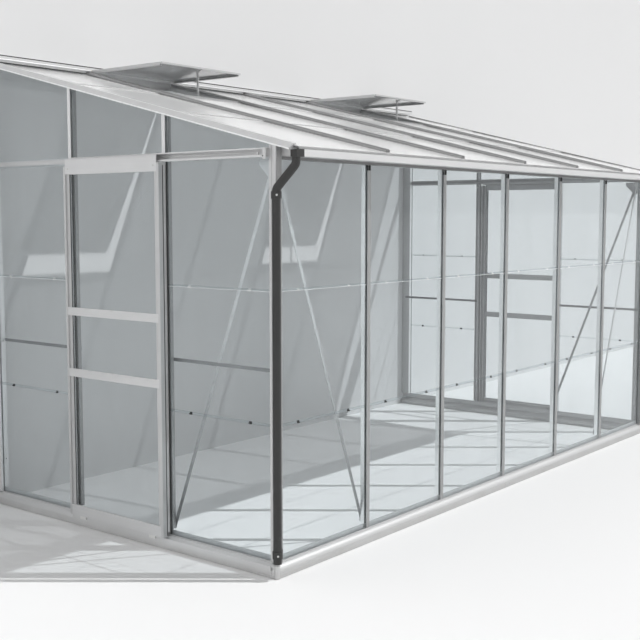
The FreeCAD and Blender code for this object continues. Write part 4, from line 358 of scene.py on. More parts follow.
def extruded_metal(name, settings, scale, turn=LEVEL, tone=1.0, front=0.0, flank_highlight=0.0, foot=0.0, side_highlight=0.0,
                   glazed=False):
    """Mill-finish aluminium: die lines along the length, soft clouding, dust low down, painted shade on inner
    faces.

    front paints shade on the faces that look to the front or the back. flank_highlight paints a highlight on
    the faces that look straight out at the gables. foot dulls the lower part. side_highlight paints a
    highlight on the sides against the top. glazed gives the parts behind the front glass a glossier, fully
    metallic finish with a near-white colour as painted highlight, and paints a highlight on the noses of the
    gable bars.
    """
    paint = Paint(name)
    lines = paint.noise(paint.stretched(scale, turn), 1.0, LINE_DETAIL, LINE_ROUGHNESS)
    cloud = paint.noise(paint.place(), settings.cloud_scale)
    x, y, z = paint.split(paint.place())
    normal = paint.split(paint.node("ShaderNodeNewGeometry", output="Normal"))
    dust = z.fade(0.0, settings.dust_height) * cloud * settings.dust
    # A tone above 1 paints a highlight on the part, and one below 1 paints shade.
    base = scaled(settings.colour, tone)
    colour = paint.blend(lines, scaled(base, 1.0 - settings.streak), scaled(base, 1.0 + settings.streak))
    colour = paint.blend(cloud * settings.cloud, colour, scaled(base, CLOUD_TONE))
    # Painted highlight on the faces that look straight out at the gables.
    if flank_highlight:
        colour = paint.blend(abs(normal[0]).step(*STRAIGHT_OUT), colour, scaled(base, 1.0 + flank_highlight))
    # Painted highlight on the sides, against darker tops.
    if side_highlight:
        colour = paint.blend(normal[2].step(*TOWARDS_TOP), scaled(base, 1.0 + side_highlight), colour)
    if foot:
        colour = paint.blend(z.fade(*FOOT_SPAN) * foot, colour, scaled(base, DULL_TONE))
    facing = abs(normal[1]).step(*TOWARDS_FRONT) * front
    metallic = settings.metallic
    rough = settings.roughness + (lines - 0.5) * settings.rough_change + (cloud - 0.5) * settings.rough_change
    if glazed:
        # Behind the front glass: glossier and fully metallic, with a near-white colour as painted highlight.
        # On the gable bars' noses: a painted highlight.
        behind, nose = upright_parts(x, y)
        metallic = behind + (1.0 - behind) * settings.metallic
        colour = paint.blend(nose, colour, scaled(base, NOSE_HIGHLIGHT_TONE))
        colour = paint.blend(behind, colour, opaque(settings.behind))
        facing = facing * (1.0 - behind)
        rough = rough * (1.0 - behind * GLOSSIER)
    # Painted shade on the faces that look to the front or the back.
    colour = paint.blend(facing, colour, scaled(base, FRONT_SHADE_TONE))
    # Painted shade on the gables' faces that look into the house.
    colour = paint.blend(inner_faces(normal, x) * settings.inner, colour, scaled(base, DULL_TONE))
    colour = paint.blend(dust, colour, opaque(settings.dust_colour))
    return paint.finish(paint.surface({
        "Base Color": colour,
        "Metallic": metallic,
        "Roughness": rough,
        "Normal": paint.bump(lines, settings.line_bump, LINE_DEPTH),
    }))


def pane_glass(name, settings, facing, tint, body, grazing):
    """Clear horticultural glass: see-through with a slight tint, glossy, more solid at its edges, faintly
    dusty.

    body is the share that isn't see-through when seen straight on, and grazing what is added along the
    surface; at grazing angles this share is a painted sheen. A lying pane has a painted reflection on top and
    painted shade underneath, and an upright one has painted shade on its edges below the lower laps and a
    faint painted highlight on them above.
    """
    paint = Paint(name)
    lying = facing[2] > LYING
    normal = paint.node("ShaderNodeNewGeometry", output="Normal")
    level = paint.node("ShaderNodeVectorMath", {"operation": "DOT_PRODUCT"}, {0: normal, 1: facing}, "Value")
    edge = abs(level).fade(*EDGE_TURN)
    ripple = paint.noise(paint.place(), settings.ripple_scale, 2.0)
    film = paint.noise(paint.stretched(FILM_STRETCH), FILM_SCALE, 4.0).step(*FILM_SPAN)
    solid = edge * settings.edge_body
    if lying:
        # Painted reflection on top, painted shade underneath.
        under = level.step(*UNDER_TURN)
        colour = paint.blend(under, opaque(settings.roof_film_and_reflection_colour), opaque(settings.underside_shade_colour))
        rim = opaque(settings.roof_film_and_reflection_colour)
    else:
        # Painted shade on the edges below the lower laps, a faint painted highlight on them above.
        upper = paint.split(paint.place())[2].step(*LAP_SPAN)
        colour = opaque(settings.film_and_sheen_colour)
        rim = paint.blend(upper, opaque(settings.low_edge_shade_colour), opaque(settings.edge_colour))
        solid = solid * (1.0 - upper * UPPER_EDGE_CLEAR)
    clear = paint.node("ShaderNodeBsdfTransparent", None, {"Color": opaque(tint)})
    gloss = paint.surface({
        "Base Color": paint.blend(edge, colour, rim),
        "Roughness": settings.roughness,
        "Normal": paint.bump(ripple, settings.ripple, RIPPLE_DEPTH),
    })
    slant = paint.node("ShaderNodeLayerWeight", None, {"Blend": 0.5}, "Facing")
    # The share that isn't see-through shows the painted colours, growing to a painted sheen at grazing
    # angles.
    share = body + film * settings.film + (slant ** SLANT_POWER) * grazing + solid
    return paint.finish(paint.layers(share.math("MINIMUM", 1.0), clear, gloss))


def moulded_plastic(name, colour, roughness, grain):
    """Moulded plastic with a fine grain and slightly uneven gloss."""
    paint = Paint(name)
    fine = paint.noise(paint.place(), GRAIN_SCALE, 2.0)
    broad = paint.noise(paint.place(), BLOTCH_SCALE)
    return paint.finish(paint.surface({
        "Base Color": paint.blend(broad, scaled(colour, BLOTCH_DARK), scaled(colour, BLOTCH_LIGHT)),
        "Roughness": roughness + (broad - 0.5) * BLOTCH_ROUGH,
        "Normal": paint.bump(fine, grain, GRAIN_DEPTH),
    }))


def bright_steel(name, colour, roughness):
    """Zinc-plated steel: bright, with small cloudy crystals."""
    paint = Paint(name)
    cells = paint.node("ShaderNodeTexVoronoi", None, {"Vector": paint.place(), "Scale": CRYSTAL_SCALE})
    return paint.finish(paint.surface({
        "Base Color": paint.blend(cells, scaled(colour, CRYSTAL_LIGHT), scaled(colour, CRYSTAL_DARK)),
        "Metallic": 1.0,
        "Roughness": roughness + cells * CRYSTAL_ROUGH,
    }))


def clip_metal_painted_by_height(name, dark, bright):
    """Spring clips of the panes: near black at the lower laps as painted shade, bright steel at the upper
    ones with a slight painted highlight.
    """
    paint = Paint(name)
    height = paint.split(paint.place())[2]
    grain = paint.noise(paint.place(), CLIP_GRAIN)
    return paint.finish(paint.surface({
        "Base Color": paint.blend(height.step(*LAP_SPAN), opaque(dark), scaled(bright, CLIP_HIGHLIGHT_TONE)),
        "Metallic": CLIP_METALLIC,
        "Roughness": CLIP_ROUGH + grain * CLIP_ROUGH_CHANGE,
    }))


def faded(paint, colour, far):
    """A matt surface that fades with distance from the middle into the backdrop's colour."""
    distance = paint.node("ShaderNodeVectorMath", {"operation": "LENGTH"}, {0: paint.place()}, "Value")
    matt = paint.node("ShaderNodeBsdfDiffuse", None, {"Color": colour})
    glow = paint.node("ShaderNodeEmission", None, {"Color": opaque(far), "Strength": 1.0})
    return paint.layers(distance.step(*FADE), matt, glow)


class MetalLook(bpy.types.PropertyGroup):
    """Aluminium extrusions"""

    colour: FloatVectorProperty(
        name="Colour", description="Colour of the bare aluminium", subtype="COLOR", size=3,
        default=(0.62, 0.622, 0.625))
    # Painted highlight: gutter, ridge and braces as a lighter copy of the aluminium.
    bright: FloatProperty(
        name="Bright parts", description="Tone of gutter, ridge and braces against the rest", default=1.22)
    wall_post_highlight: FloatProperty(
        # Painted highlight: the wall posts as a lighter copy of the aluminium.
        name="Wall posts", description="Tone of the posts at the wall against the rest", default=1.35)
    # Painted shade: the cross rails as a darker copy of the aluminium.
    rail_shade: FloatProperty(
        name="Dull parts", description="Tone of the cross rails against the rest", default=0.5)
    # Painted shade: the bar caps and their ends as a darker copy of the aluminium.
    cap: FloatProperty(
        name="Bar caps", description="Tone of the roof bar caps against the rest", default=0.38)
    # Painted highlight: the front bars' parts behind the glass in near white.
    behind: FloatVectorProperty(
        name="Bars behind glass", description="Colour of the front bars' parts behind the glass",
        subtype="COLOR", size=3, default=(0.97, 0.98, 0.98))
    # Painted highlight: the rail insides as a lighter copy of the aluminium.
    back: FloatProperty(
        name="Rail insides", description="Tone of the eave rails' inner flanges", default=1.3)
    # Painted highlight: door rails and tracks as a lighter copy of the aluminium.
    face: FloatProperty(
        name="Outer rails", description="Tone of the door rails and tracks against the rest", default=1.15)
    # Painted shade on the front and back of the eave beam.
    beam: FloatProperty(
        name="Eave beam", description="How much duller the front and back of the eave beam are", default=1.0,
        subtype="FACTOR")
    # Painted shade on the front and back sides of the door stiles.
    stile: FloatProperty(
        name="Stile sides", description="How much duller the sides of the door stiles are", default=0.2,
        subtype="FACTOR")
    # Painted highlight on the outer sides of the roof's end bars.
    flank_highlight: FloatProperty(
        name="End bar sides", description="How much brighter the outer sides of the roof's end bars are",
        default=0.5)
    foot: FloatProperty(
        name="Brace feet", description="How much duller the braces are low down", default=0.8,
        subtype="FACTOR")
    # Painted highlight on the caps' sides against their tops.
    side_highlight: FloatProperty(
        name="Cap sides", description="How much brighter the caps' sides are than their tops", default=0.6)
    # Painted shade on the fronts and backs of upright bars.
    front: FloatProperty(
        name="Front faces", description="How much duller the fronts of upright bars are", default=0.6,
        subtype="FACTOR")
    # Painted shade on the gables' inner faces.
    inner: FloatProperty(
        name="Inner faces", description="How much duller the inner faces of the gables are", default=0.6,
        subtype="FACTOR")
    dust_colour: FloatVectorProperty(
        name="Dust colour", description="Colour of the dust near the ground", subtype="COLOR", size=3,
        default=(0.42, 0.41, 0.39))
    dust: FloatProperty(
        name="Dust", description="How much dust lies low on the frame", default=0.5, subtype="FACTOR")
    dust_height: FloatProperty(
        name="Dust height", description="Height that the dust reaches", default=0.05, unit="LENGTH")
    streak: FloatProperty(
        name="Die lines", description="Contrast of the lines along each bar", default=0.07, subtype="FACTOR")
    cloud: FloatProperty(
        name="Clouding", description="Strength of the soft clouding", default=0.25, subtype="FACTOR")
    cloud_scale: FloatProperty(name="Cloud scale", description="Clouds per metre", default=7.0)
    metallic: FloatProperty(
        name="Metallic", description="Metal share of the surface", default=0.55, subtype="FACTOR")
    roughness: FloatProperty(
        name="Roughness", description="Mean roughness of the metal", default=0.46, subtype="FACTOR")
    rough_change: FloatProperty(
        name="Roughness change", description="How much the roughness varies", default=0.12, subtype="FACTOR")
    line_bump: FloatProperty(
        name="Line depth", description="Strength of the die lines' relief", default=0.25, subtype="FACTOR")


class GlassLook(bpy.types.PropertyGroup):
    """Panes"""

    wall_tint: FloatVectorProperty(
        name="Wall tint", description="What the upright glass lets through", subtype="COLOR", size=3,
        default=(0.942, 0.958, 0.964))
    roof_tint: FloatVectorProperty(
        name="Roof tint", description="What the roof glass lets through", subtype="COLOR", size=3,
        default=(0.9, 0.905, 0.91))
    # Film on the upright glass, and a painted sheen where it is seen at grazing angles.
    film_and_sheen_colour: FloatVectorProperty(
        name="Film colour", description="Colour of the thin film on the upright glass", subtype="COLOR",
        size=3, default=(0.75, 0.77, 0.78))
    # Painted reflection on top of the roof and vents, with their faint film.
    roof_film_and_reflection_colour: FloatVectorProperty(
        name="Roof film colour", description="Colour of the film on top of the roof", subtype="COLOR",
        size=3, default=(0.84, 0.84, 0.84))
    # Painted shade under the roof and vents.
    underside_shade_colour: FloatVectorProperty(
        name="Underside colour", description="Colour of the film under the roof", subtype="COLOR", size=3,
        default=(0.37, 0.37, 0.37))
    # Painted highlight on the cut edges above the lower laps.
    edge_colour: FloatVectorProperty(
        name="Edge colour", description="Colour of the cut edges that catch the light", subtype="COLOR",
        size=3, default=(0.9, 0.92, 0.92))
    # Painted shade on the cut edges low down.
    low_edge_shade_colour: FloatVectorProperty(
        name="Low edge colour", description="Colour of the cut edges low down", subtype="COLOR", size=3,
        default=(0.2, 0.22, 0.22))
    haze: FloatProperty(
        name="Haze", description="Share of an upright pane that isn't see-through", default=0.012,
        subtype="FACTOR")
    # Share of the roof's painted reflection; it also holds back light.
    roof_reflection_share: FloatProperty(
        name="Roof haze", description="Share of a roof pane that isn't see-through", default=0.55,
        subtype="FACTOR")
    # Share of the vents' painted reflection on top and painted shade underneath.
    vent_painted_share: FloatProperty(
        name="Vent haze", description="Share of a vent's pane that isn't see-through", default=0.75,
        subtype="FACTOR")
    film: FloatProperty(
        name="Film", description="Extra share where a thin film lies", default=0.02, subtype="FACTOR")
    # Adds a painted sheen on the upright glass at grazing angles.
    sheen: FloatProperty(
        name="Sheen", description="Reflection of the upright glass at grazing angles", default=0.5,
        subtype="FACTOR")
    # Adds painted reflection on the roof and vents at grazing angles.
    roof_sheen: FloatProperty(
        name="Roof sheen", description="Reflection of the roof at grazing angles", default=0.7,
        subtype="FACTOR")
    edge_body: FloatProperty(
        name="Edge body", description="How solid the cut edges look", default=0.7, subtype="FACTOR")
    roughness: FloatProperty(
        name="Roughness", description="Roughness of the glass", default=0.12, subtype="FACTOR")
    ripple: FloatProperty(
        name="Ripple", description="Strength of the faint waves in the glass", default=0.05,
        subtype="FACTOR")
    ripple_scale: FloatProperty(name="Ripple scale", description="Waves per metre", default=4.0)


class PlasticLook(bpy.types.PropertyGroup):
    """Plastic and steel parts"""

    black: FloatVectorProperty(
        name="Black", description="Colour of the rain water parts", subtype="COLOR", size=3,
        default=(0.024, 0.024, 0.0235))
    # Painted light: the door shoes lighter than their own grey, against the shade they sit in.
    shoe_grey_painted_light: FloatVectorProperty(
        name="Grey", description="Colour of the door shoes", subtype="COLOR", size=3,
        default=(0.75, 0.75, 0.74))
    nylon: FloatVectorProperty(
        name="Nylon", description="Colour of the wheels and hinge ends", subtype="COLOR", size=3,
        default=(0.72, 0.71, 0.67))
    seal: FloatVectorProperty(
        name="Seal", description="Colour of the glazing strips", subtype="COLOR", size=3,
        default=(0.09, 0.09, 0.09))
    # Painted shade: the clips at the lower laps in near black.
    clip: FloatVectorProperty(
        name="Clips", description="Colour of the clips at the lower laps", subtype="COLOR", size=3,
        default=(0.02, 0.02, 0.02))
    steel: FloatVectorProperty(
        name="Steel", description="Colour of bolts and of the clips at the upper laps", subtype="COLOR",
        size=3, default=(0.66, 0.66, 0.65))


class PartsLook(bpy.types.PropertyGroup):
    """Small parts"""

    cap_end: FloatProperty(
        name="Cap end", description="Depth of the caps' ends", default=0.002, unit="LENGTH")
    gasket: FloatProperty(
        name="Gasket width", description="Width of the strips beside the bars", default=0.005, unit="LENGTH")
    brush: FloatProperty(
        name="Brush depth", description="How far the brushes reach to the doors", default=0.0178,
        unit="LENGTH")
    rubber: FloatVectorProperty(
        name="Rubber", description="Colour of gaskets and seals", subtype="COLOR", size=3,
        default=(0.03, 0.03, 0.03))
    bristles: FloatVectorProperty(
        name="Bristles", description="Colour of the brushes", subtype="COLOR", size=3,
        default=(0.6, 0.6, 0.6))
    closure: FloatVectorProperty(
        name="Closures", description="Colour of the strips under eave and ridge", subtype="COLOR", size=3,
        default=(0.86, 0.86, 0.86))
    # Painted highlight: the beads along the upper laps.
    lap_highlight: FloatVectorProperty(
        name="Lap beads", description="Colour of the beads along the upper laps", subtype="COLOR", size=3,
        default=(0.72, 0.74, 0.75))
    # Painted shadow: the black pieces on the front bars' tops.
    bar_top_shadow: FloatVectorProperty(
        name="Bar tops", description="Colour of the covers on the front bars", subtype="COLOR", size=3,
        default=(0.010, 0.010, 0.010))
    screw: FloatVectorProperty(
        name="Screws", description="Colour of the track's screws", subtype="COLOR", size=3,
        default=(0.03, 0.03, 0.03))


class StageLook(bpy.types.PropertyGroup):
    """Floor, wall, light and camera"""

    floor: FloatVectorProperty(
        name="Floor", description="Colour of the floor", subtype="COLOR", size=3, default=(0.86, 0.86, 0.86))
    wall: FloatVectorProperty(
        name="Wall", description="Colour of the wall", subtype="COLOR", size=3,
        default=(0.79, 0.792, 0.795))
    back: FloatVectorProperty(
        name="Backdrop", description="Colour far behind everything", subtype="COLOR", size=3,
        default=(0.80, 0.80, 0.80))
    shade: FloatProperty(
        name="Wall shade", description="How dark the wall is behind the glass", default=0.15,
        subtype="FACTOR")
    # Painted light on the floor inside the house.
    lift: FloatProperty(
        name="Floor lift", description="How much brighter the floor is inside the house", default=0.14,
        subtype="FACTOR")
    ambient: FloatProperty(
        name="Ambient", description="Strength of the light from all round", default=0.38)
    key: FloatProperty(
        name="Key light", description="Strength of the lamp from the front right", default=2.2)
    side: FloatProperty(
        name="Side light", description="Strength of the broad lamp from the left", default=1.0)
    focal: FloatProperty(
        name="Focal length", description="Focal length of the camera in millimetres", default=60.373)


def add_mesh(name, points, faces, material):
    mesh = bpy.data.meshes.new(name)
    mesh.from_pydata(points.reshape(-1, 3).tolist(), [], faces)
    mesh.update()
    mesh.materials.append(material)
    thing = bpy.data.objects.new(name, mesh)
    bpy.context.scene.collection.objects.link(thing)
    return thing


def flat_sheet(name, corner, right, up, material):
    """A flat grid: corner + right * u + up * v, with u and v from 0 to 1."""
    u, v = np.meshgrid(np.linspace(0, 1, SHEET_STEPS), np.linspace(0, 1, SHEET_STEPS))
    points = np.array(corner) + u[..., None] * np.array(right) + v[..., None] * np.array(up)
    index = np.arange(u.size).reshape(u.shape)
    faces = np.stack([index[:-1, :-1], index[:-1, 1:], index[1:, 1:], index[1:, :-1]], axis=-1)
    return add_mesh(name, points, faces.reshape(-1, 4).tolist(), material)


def swept(name, outline, starts, ends, side, rings, material):
    """Like solids along straight paths: start + (end - start) * t + (side * u + rise * v) * scale.

    outline holds the (u, v) of the section, anticlockwise as seen from the end, rise is the path's direction
    crossed with side, and rings holds the (t, scale) of each ring. Both ends are closed.
    """
    path = (ends - starts)[0]
    rise = np.cross(path / np.linalg.norm(path), side)
    t, scale = np.array(rings).T
    flat = outline[:, :1] * np.array(side) + outline[:, 1:] * rise
    middle = starts[:, None] + (ends - starts)[:, None] * t[None, :, None]
    points = middle[:, :, None] + flat[None, None] * scale[None, :, None, None]
    index = np.arange(points[..., 0].size).reshape(points.shape[:3])
    after = np.roll(index, -1, axis=2)
    walls = np.stack([index[:, :-1], after[:, :-1], after[:, 1:], index[:, 1:]], axis=-1).reshape(-1, 4)
    faces = walls.tolist() + index[:, 0, ::-1].tolist() + index[:, -1].tolist()
    return add_mesh(name, points, faces, material)


def fit(name, outline, feet, run, side, rings, material, body):
    """Sweeps an outline from each foot along run, and makes the piece part of a body."""
    feet = np.array(feet)
    piece = swept(name, outline, feet, feet + np.array(run), side, rings, material)
    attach(piece, body)


def tapered(share, scale):
    """Rings of a strip that narrows to scale over a share of its length at both ends."""
    return (0.0, scale), (share, 1.0), (1.0 - share, 1.0), (1.0, scale)


def bowed(half, height, steps=9):
    """Outline of a strip with a rounded top: v = height * cos(pi u / (2.4 half)) over a flat foot."""
    u = np.linspace(-half, half, steps)[::-1]
    top = height * np.cos(np.pi * u / (2.4 * half))
    return np.concatenate([[(-half, 0.0), (half, 0.0)], np.stack([u, top], axis=1)])


def ellipse(half, height, steps=24, turn=FULL_TURN):
    """Outline of an ellipse, or of its part up to turn: u = half * cos(a), v = height * sin(a)."""
    angle = np.linspace(0.0, turn, steps, endpoint=turn < FULL_TURN)
    return np.stack([half * np.cos(angle), height * np.sin(angle)], axis=1)


class GREENHOUSE_OT_metal(bpy.types.Operator):
    """Finishes the aluminium frame"""

    bl_idname = "greenhouse.metal"
    bl_label = "Metal"

    def execute(self, context):
        look = context.scene.greenhouse_metal
        # The tones here, and the settings that brighten or darken faces, paint light and shade on the
        # aluminium.
        groups = (
            ("metal_upright_lit_and_shaded", UPRIGHT, LINES_UP, LEVEL, {"front": look.front, "glazed": True}),
            ("metal_wall_side", WALL_SIDE, LINES_UP, LEVEL, {"tone": look.wall_post_highlight}),
            ("metal_stiles_shaded", STILES, LINES_UP, LEVEL, {"front": look.stile}),
            ("metal_lengthwise", LENGTHWISE, LINES_X, LEVEL, {}),
            ("metal_weather_highlight", WEATHER, LINES_X, LEVEL, {"tone": look.bright}),
            ("metal_beam_shaded", BEAM, LINES_X, LEVEL, {"front": look.beam}),
            ("metal_crosswise", CROSSWISE, LINES_Y, LEVEL, {}),
            ("metal_facing_highlight", FACING, LINES_Y, LEVEL, {"tone": look.face}),
            ("metal_shaded", SHADED, LINES_Y, LEVEL, {"tone": look.rail_shade}),
            ("metal_sloping", SLOPING, LINES_Y, SLOPE, {}),
            ("metal_end_bars_highlight", END_BARS, LINES_Y, SLOPE, {"flank_highlight": look.flank_highlight}),
            ("metal_caps_lit_and_shaded", CAPS, LINES_Y, SLOPE, {"tone": look.cap, "side_highlight": look.side_highlight}),
            ("metal_flat", FLAT, LINES_SHORT, LEVEL, {}),
            ("metal_braces_highlight", BRACES, LINES_SHORT, LEVEL, {"tone": look.bright, "foot": look.foot}),
        )
        for name, nodes, scale, turn, extra in groups:
            wear(nodes, extruded_metal(name, look, scale, turn, **extra))
        return {"FINISHED"}


class GREENHOUSE_OT_glass(bpy.types.Operator):
    """Glazes the walls, doors, roof and vents"""

    bl_idname = "greenhouse.glass"
    bl_label = "Glass"

    def execute(self, context):
        look = context.scene.greenhouse_glass
        for node, facing in PANES.items():
            values = (look.wall_tint, look.haze, look.sheen)
            if node == "roof_glass":
                values = (look.roof_tint, look.roof_reflection_share, look.roof_sheen)
            elif facing[2] > LYING:
                values = (look.roof_tint, look.vent_painted_share, look.roof_sheen)
            wear((node,), pane_glass(f"glass_{node}", look, facing, *values))
        return {"FINISHED"}


class GREENHOUSE_OT_plastic(bpy.types.Operator):
    """Finishes the plastic, rubber and steel parts"""

    bl_idname = "greenhouse.plastic"
    bl_label = "Plastic and steel"

    def execute(self, context):
        look = context.scene.greenhouse_plastic
        wear(BLACK, moulded_plastic("black_plastic", look.black, roughness=0.42, grain=0.12))
        wear(GREY, moulded_plastic("grey_plastic", look.shoe_grey_painted_light, roughness=0.5, grain=0.1))
        wear(NYLON, moulded_plastic("white_nylon", look.nylon, roughness=0.5, grain=0.1))
        wear(SEALS, moulded_plastic("seal_rubber", look.seal, roughness=0.7, grain=0.2))
        wear(STEEL, bright_steel("zinc_steel", look.steel, roughness=0.28))
        wear(CLIPS, clip_metal_painted_by_height("clip_steel_lit_and_shaded", look.clip, look.steel))
        return {"FINISHED"}


class GREENHOUSE_OT_cap_ends(bpy.types.Operator):
    """Adds the domed ends that close the roof bar caps at the eave"""

    bl_idname = "greenhouse.cap_ends"
    bl_label = "Cap ends"

    def execute(self, context):
        look = context.scene.greenhouse_metal
        # The cap ends take the caps' darker tone: painted shade.
        metal = extruded_metal("metal_cap_ends_shaded", look, LINES_CAP_ENDS, tone=look.cap)
        feet = [(x, *CAP_TIP) for x in RIDGE_LINES]
        run = -UPSLOPE * context.scene.greenhouse_parts.cap_end
        dome = ellipse(CAP_HALF, CAP_RISE, CAP_STEPS, math.pi)
        fit("cap_ends", dome, feet, run, (1.0, 0.0, 0.0), CAP_RINGS, metal, "frame")
        return {"FINISHED"}


class GREENHOUSE_OT_gaskets(bpy.types.Operator):
    """Adds the rubber strips beside the noses of the gable bars, and the brushes and seals of the doors"""

    bl_idname = "greenhouse.gaskets"
    bl_label = "Gaskets and brushes"

    def execute(self, context):
        look = context.scene.greenhouse_parts
        rubber = moulded_plastic("gasket_rubber", look.rubber, roughness=0.6, grain=0.2)
        bristles = moulded_plastic("brush_bristles", look.bristles, roughness=0.8, grain=0.4)
        rings = tapered(0.001, 0.6)

        def strip(name, half, rise, feet, length, side, material, body):
            fit(name, bowed(half, rise), feet, (0.0, 0.0, length), side, rings, material, body)

        for name, sign in GABLES:
            outward = (0.0, -sign, 0.0)
            half = look.gasket / 2
            spots = [FRONT + bar + way * (NOSE_HALF + half) for bar in DOOR_BARS for way in (-1.0, 1.0)]
            feet = [(sign * (SIDE + PART_GAP), y, GASKET_FOOT) for y in spots]
            strip(f"gable_gaskets_{name}", half, GASKET_RISE, feet, GASKET_LENGTH, outward, rubber, "frame")
            feet = [(sign * BRUSH_OUT, FRONT + depth, BRUSH_FOOT) for depth in BRUSH_DEPTHS]
            strip(f"door_brushes_{name}", BRUSH_HALF, look.brush, feet, BRUSH_LENGTH, outward, bristles,
                  "frame")
            feet = [(sign * PANE_SEAL_OUT, FRONT + PANE_SEAL_DEPTH, PANE_SEAL_FOOT)]
            strip(f"pane_seal_{name}", PANE_SEAL_HALF, PANE_SEAL_RISE, feet, PANE_SEAL_LENGTH, outward,
                  rubber, f"door_{name}")
            feet = [(sign * STILE_SEAL_OUT, FRONT + STILE_SEAL_DEPTH, STILE_SEAL_FOOT)]
            strip(f"stile_seal_{name}", STILE_SEAL_HALF, STILE_SEAL_RISE, feet, STILE_SEAL_LENGTH,
                  (-1.0, 0.0, 0.0), rubber, f"door_{name}")
        return {"FINISHED"}


class GREENHOUSE_OT_closures(bpy.types.Operator):
    """Adds the strips that fill the gaps under the glass at the eave and under the ridge hood"""

    bl_idname = "greenhouse.closures"
    bl_label = "Eave and ridge closures"

    def execute(self, context):
        look = context.scene.greenhouse_parts
        pale = moulded_plastic("closure_foam", look.closure, roughness=0.8, grain=0.3)
        dark = moulded_plastic("closure_seal", look.rubber, roughness=0.6, grain=0.2)
        rings = tapered(0.002, 0.7)

        def strip(name, section, bays, material):
            depth, middle, width = section
            feet = [(start, FRONT + depth, middle) for start, _ in bays]
            run = [(length, 0.0, 0.0) for _, length in bays]
            outline = bowed(width / 2, CLOSURE_RISE)
            fit(name, outline, feet, run, (0.0, 0.0, 1.0), rings, material, "frame")

        strip("eave_closure", EAVE_CLOSURE, [(-EAVE_REACH, 2 * EAVE_REACH)], pale)
        strip("ridge_seal", RIDGE_SEAL, [(-RIDGE_REACH, 2 * RIDGE_REACH)], dark)
        strip("ridge_closures", RIDGE_CLOSURE, OPEN_BAYS, pale)
        strip("ridge_joints", RIDGE_JOINT, OPEN_BAYS, dark)
        return {"FINISHED"}


class GREENHOUSE_OT_lap_beads(bpy.types.Operator):
    """Adds thin bright beads along the upper laps of the upright panes, as a painted highlight on the laps"""

    bl_idname = "greenhouse.lap_beads"
    bl_label = "Lap beads"

    def execute(self, context):
        look = context.scene.greenhouse_parts
        bead = moulded_plastic("lap_bead", look.lap_highlight, roughness=0.3, grain=0.05)
        rings = tapered(0.004, 0.5)
        outline = bowed(BEAD_HALF, BEAD_RISE)
        starts = [-SIDE + BAY * bay + FRONT_BEAD_START for bay in range(BAYS)]
        feet = [(x, FRONT - PART_GAP, UPPER_LAP) for x in starts]
        run = (FRONT_BEAD_LENGTH, 0.0, 0.0)
        fit("lap_beads_front", outline, feet, run, (0.0, 0.0, 1.0), rings, bead, "frame")
        run = [(0.0, length, 0.0) for _, length in GABLE_BEADS]
        for name, sign in GABLES:
            feet = [(sign * (SIDE + PART_GAP), FRONT + depth, UPPER_LAP) for depth, _ in GABLE_BEADS]
            side = (0.0, 0.0, sign)
            fit(f"lap_beads_{name}", outline, feet, run, side, rings, bead, "frame")
        return {"FINISHED"}


class GREENHOUSE_OT_bar_tops(bpy.types.Operator):
    """Adds black pieces over the upper ends of the front bars, as a painted shadow under the gutter"""

    bl_idname = "greenhouse.bar_tops"
    bl_label = "Bar tops"

    def execute(self, context):
        look = context.scene.greenhouse_parts
        black = moulded_plastic("bar_top_painted_shadow", look.bar_top_shadow, roughness=0.6, grain=0.1)
        feet = [(x, FRONT - BAR_TOP_GAP, BAR_TOP_FOOT) for x in RIDGE_LINES]
        run = (0.0, 0.0, BAR_TOP_LENGTH)
        outline = bowed(BAR_TOP_HALF, BAR_TOP_RISE, BAR_TOP_STEPS)
        fit("bar_top_shadows", outline, feet, run, (-1.0, 0.0, 0.0), BAR_TOP_RINGS, black, "frame")
        return {"FINISHED"}


class GREENHOUSE_OT_hinge_ends(bpy.types.Operator):
    """Adds the turned end buttons of the vents' hinges, on the hinge line"""

    bl_idname = "greenhouse.hinge_ends"
    bl_label = "Hinge ends"

    def execute(self, context):
        look = context.scene.greenhouse_plastic
        white = moulded_plastic("hinge_end", look.nylon, roughness=0.4, grain=0.05)
        outline = ellipse(HINGE_END_RADIUS, HINGE_END_RADIUS)
        for vent in ("vent_left", "vent_right"):
            low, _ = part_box(f"{vent}_hinge_rail")
            _, y, z = JOINTS[f"{vent}_hinge"]["pos_m"]
            feet = [(low[0] - HINGE_END_GAP, y, z)]
            run = (-HINGE_END_LENGTH, 0.0, 0.0)
            fit(f"{vent}_hinge_end", outline, feet, run, (0.0, 1.0, 0.0), HINGE_END_RINGS, white, vent)
        return {"FINISHED"}


class GREENHOUSE_OT_rail_insides(bpy.types.Operator):
    """Adds the flat inner flanges of the gables' eave rails, one in each bay"""

    bl_idname = "greenhouse.rail_insides"
    bl_label = "Rail insides"

    def execute(self, context):
        look = context.scene.greenhouse_metal
        # A lighter copy of the aluminium: painted highlight.
        metal = extruded_metal("metal_rail_insides_highlight", look, LINES_Y, tone=look.back)
        rings = tapered(0.004, 0.9)
        outline = bowed(INSIDE_HALF, INSIDE_RISE, INSIDE_STEPS)
        run = [(0.0, length, 0.0) for _, length in INSIDE_BAYS]
        for name, sign in GABLES:
            feet = [(sign * INSIDE_OUT, FRONT + depth, INSIDE_HEIGHT) for depth, _ in INSIDE_BAYS]
            side = (0.0, 0.0, -sign)
            fit(f"rail_insides_{name}", outline, feet, run, side, rings, metal, "frame")
        return {"FINISHED"}


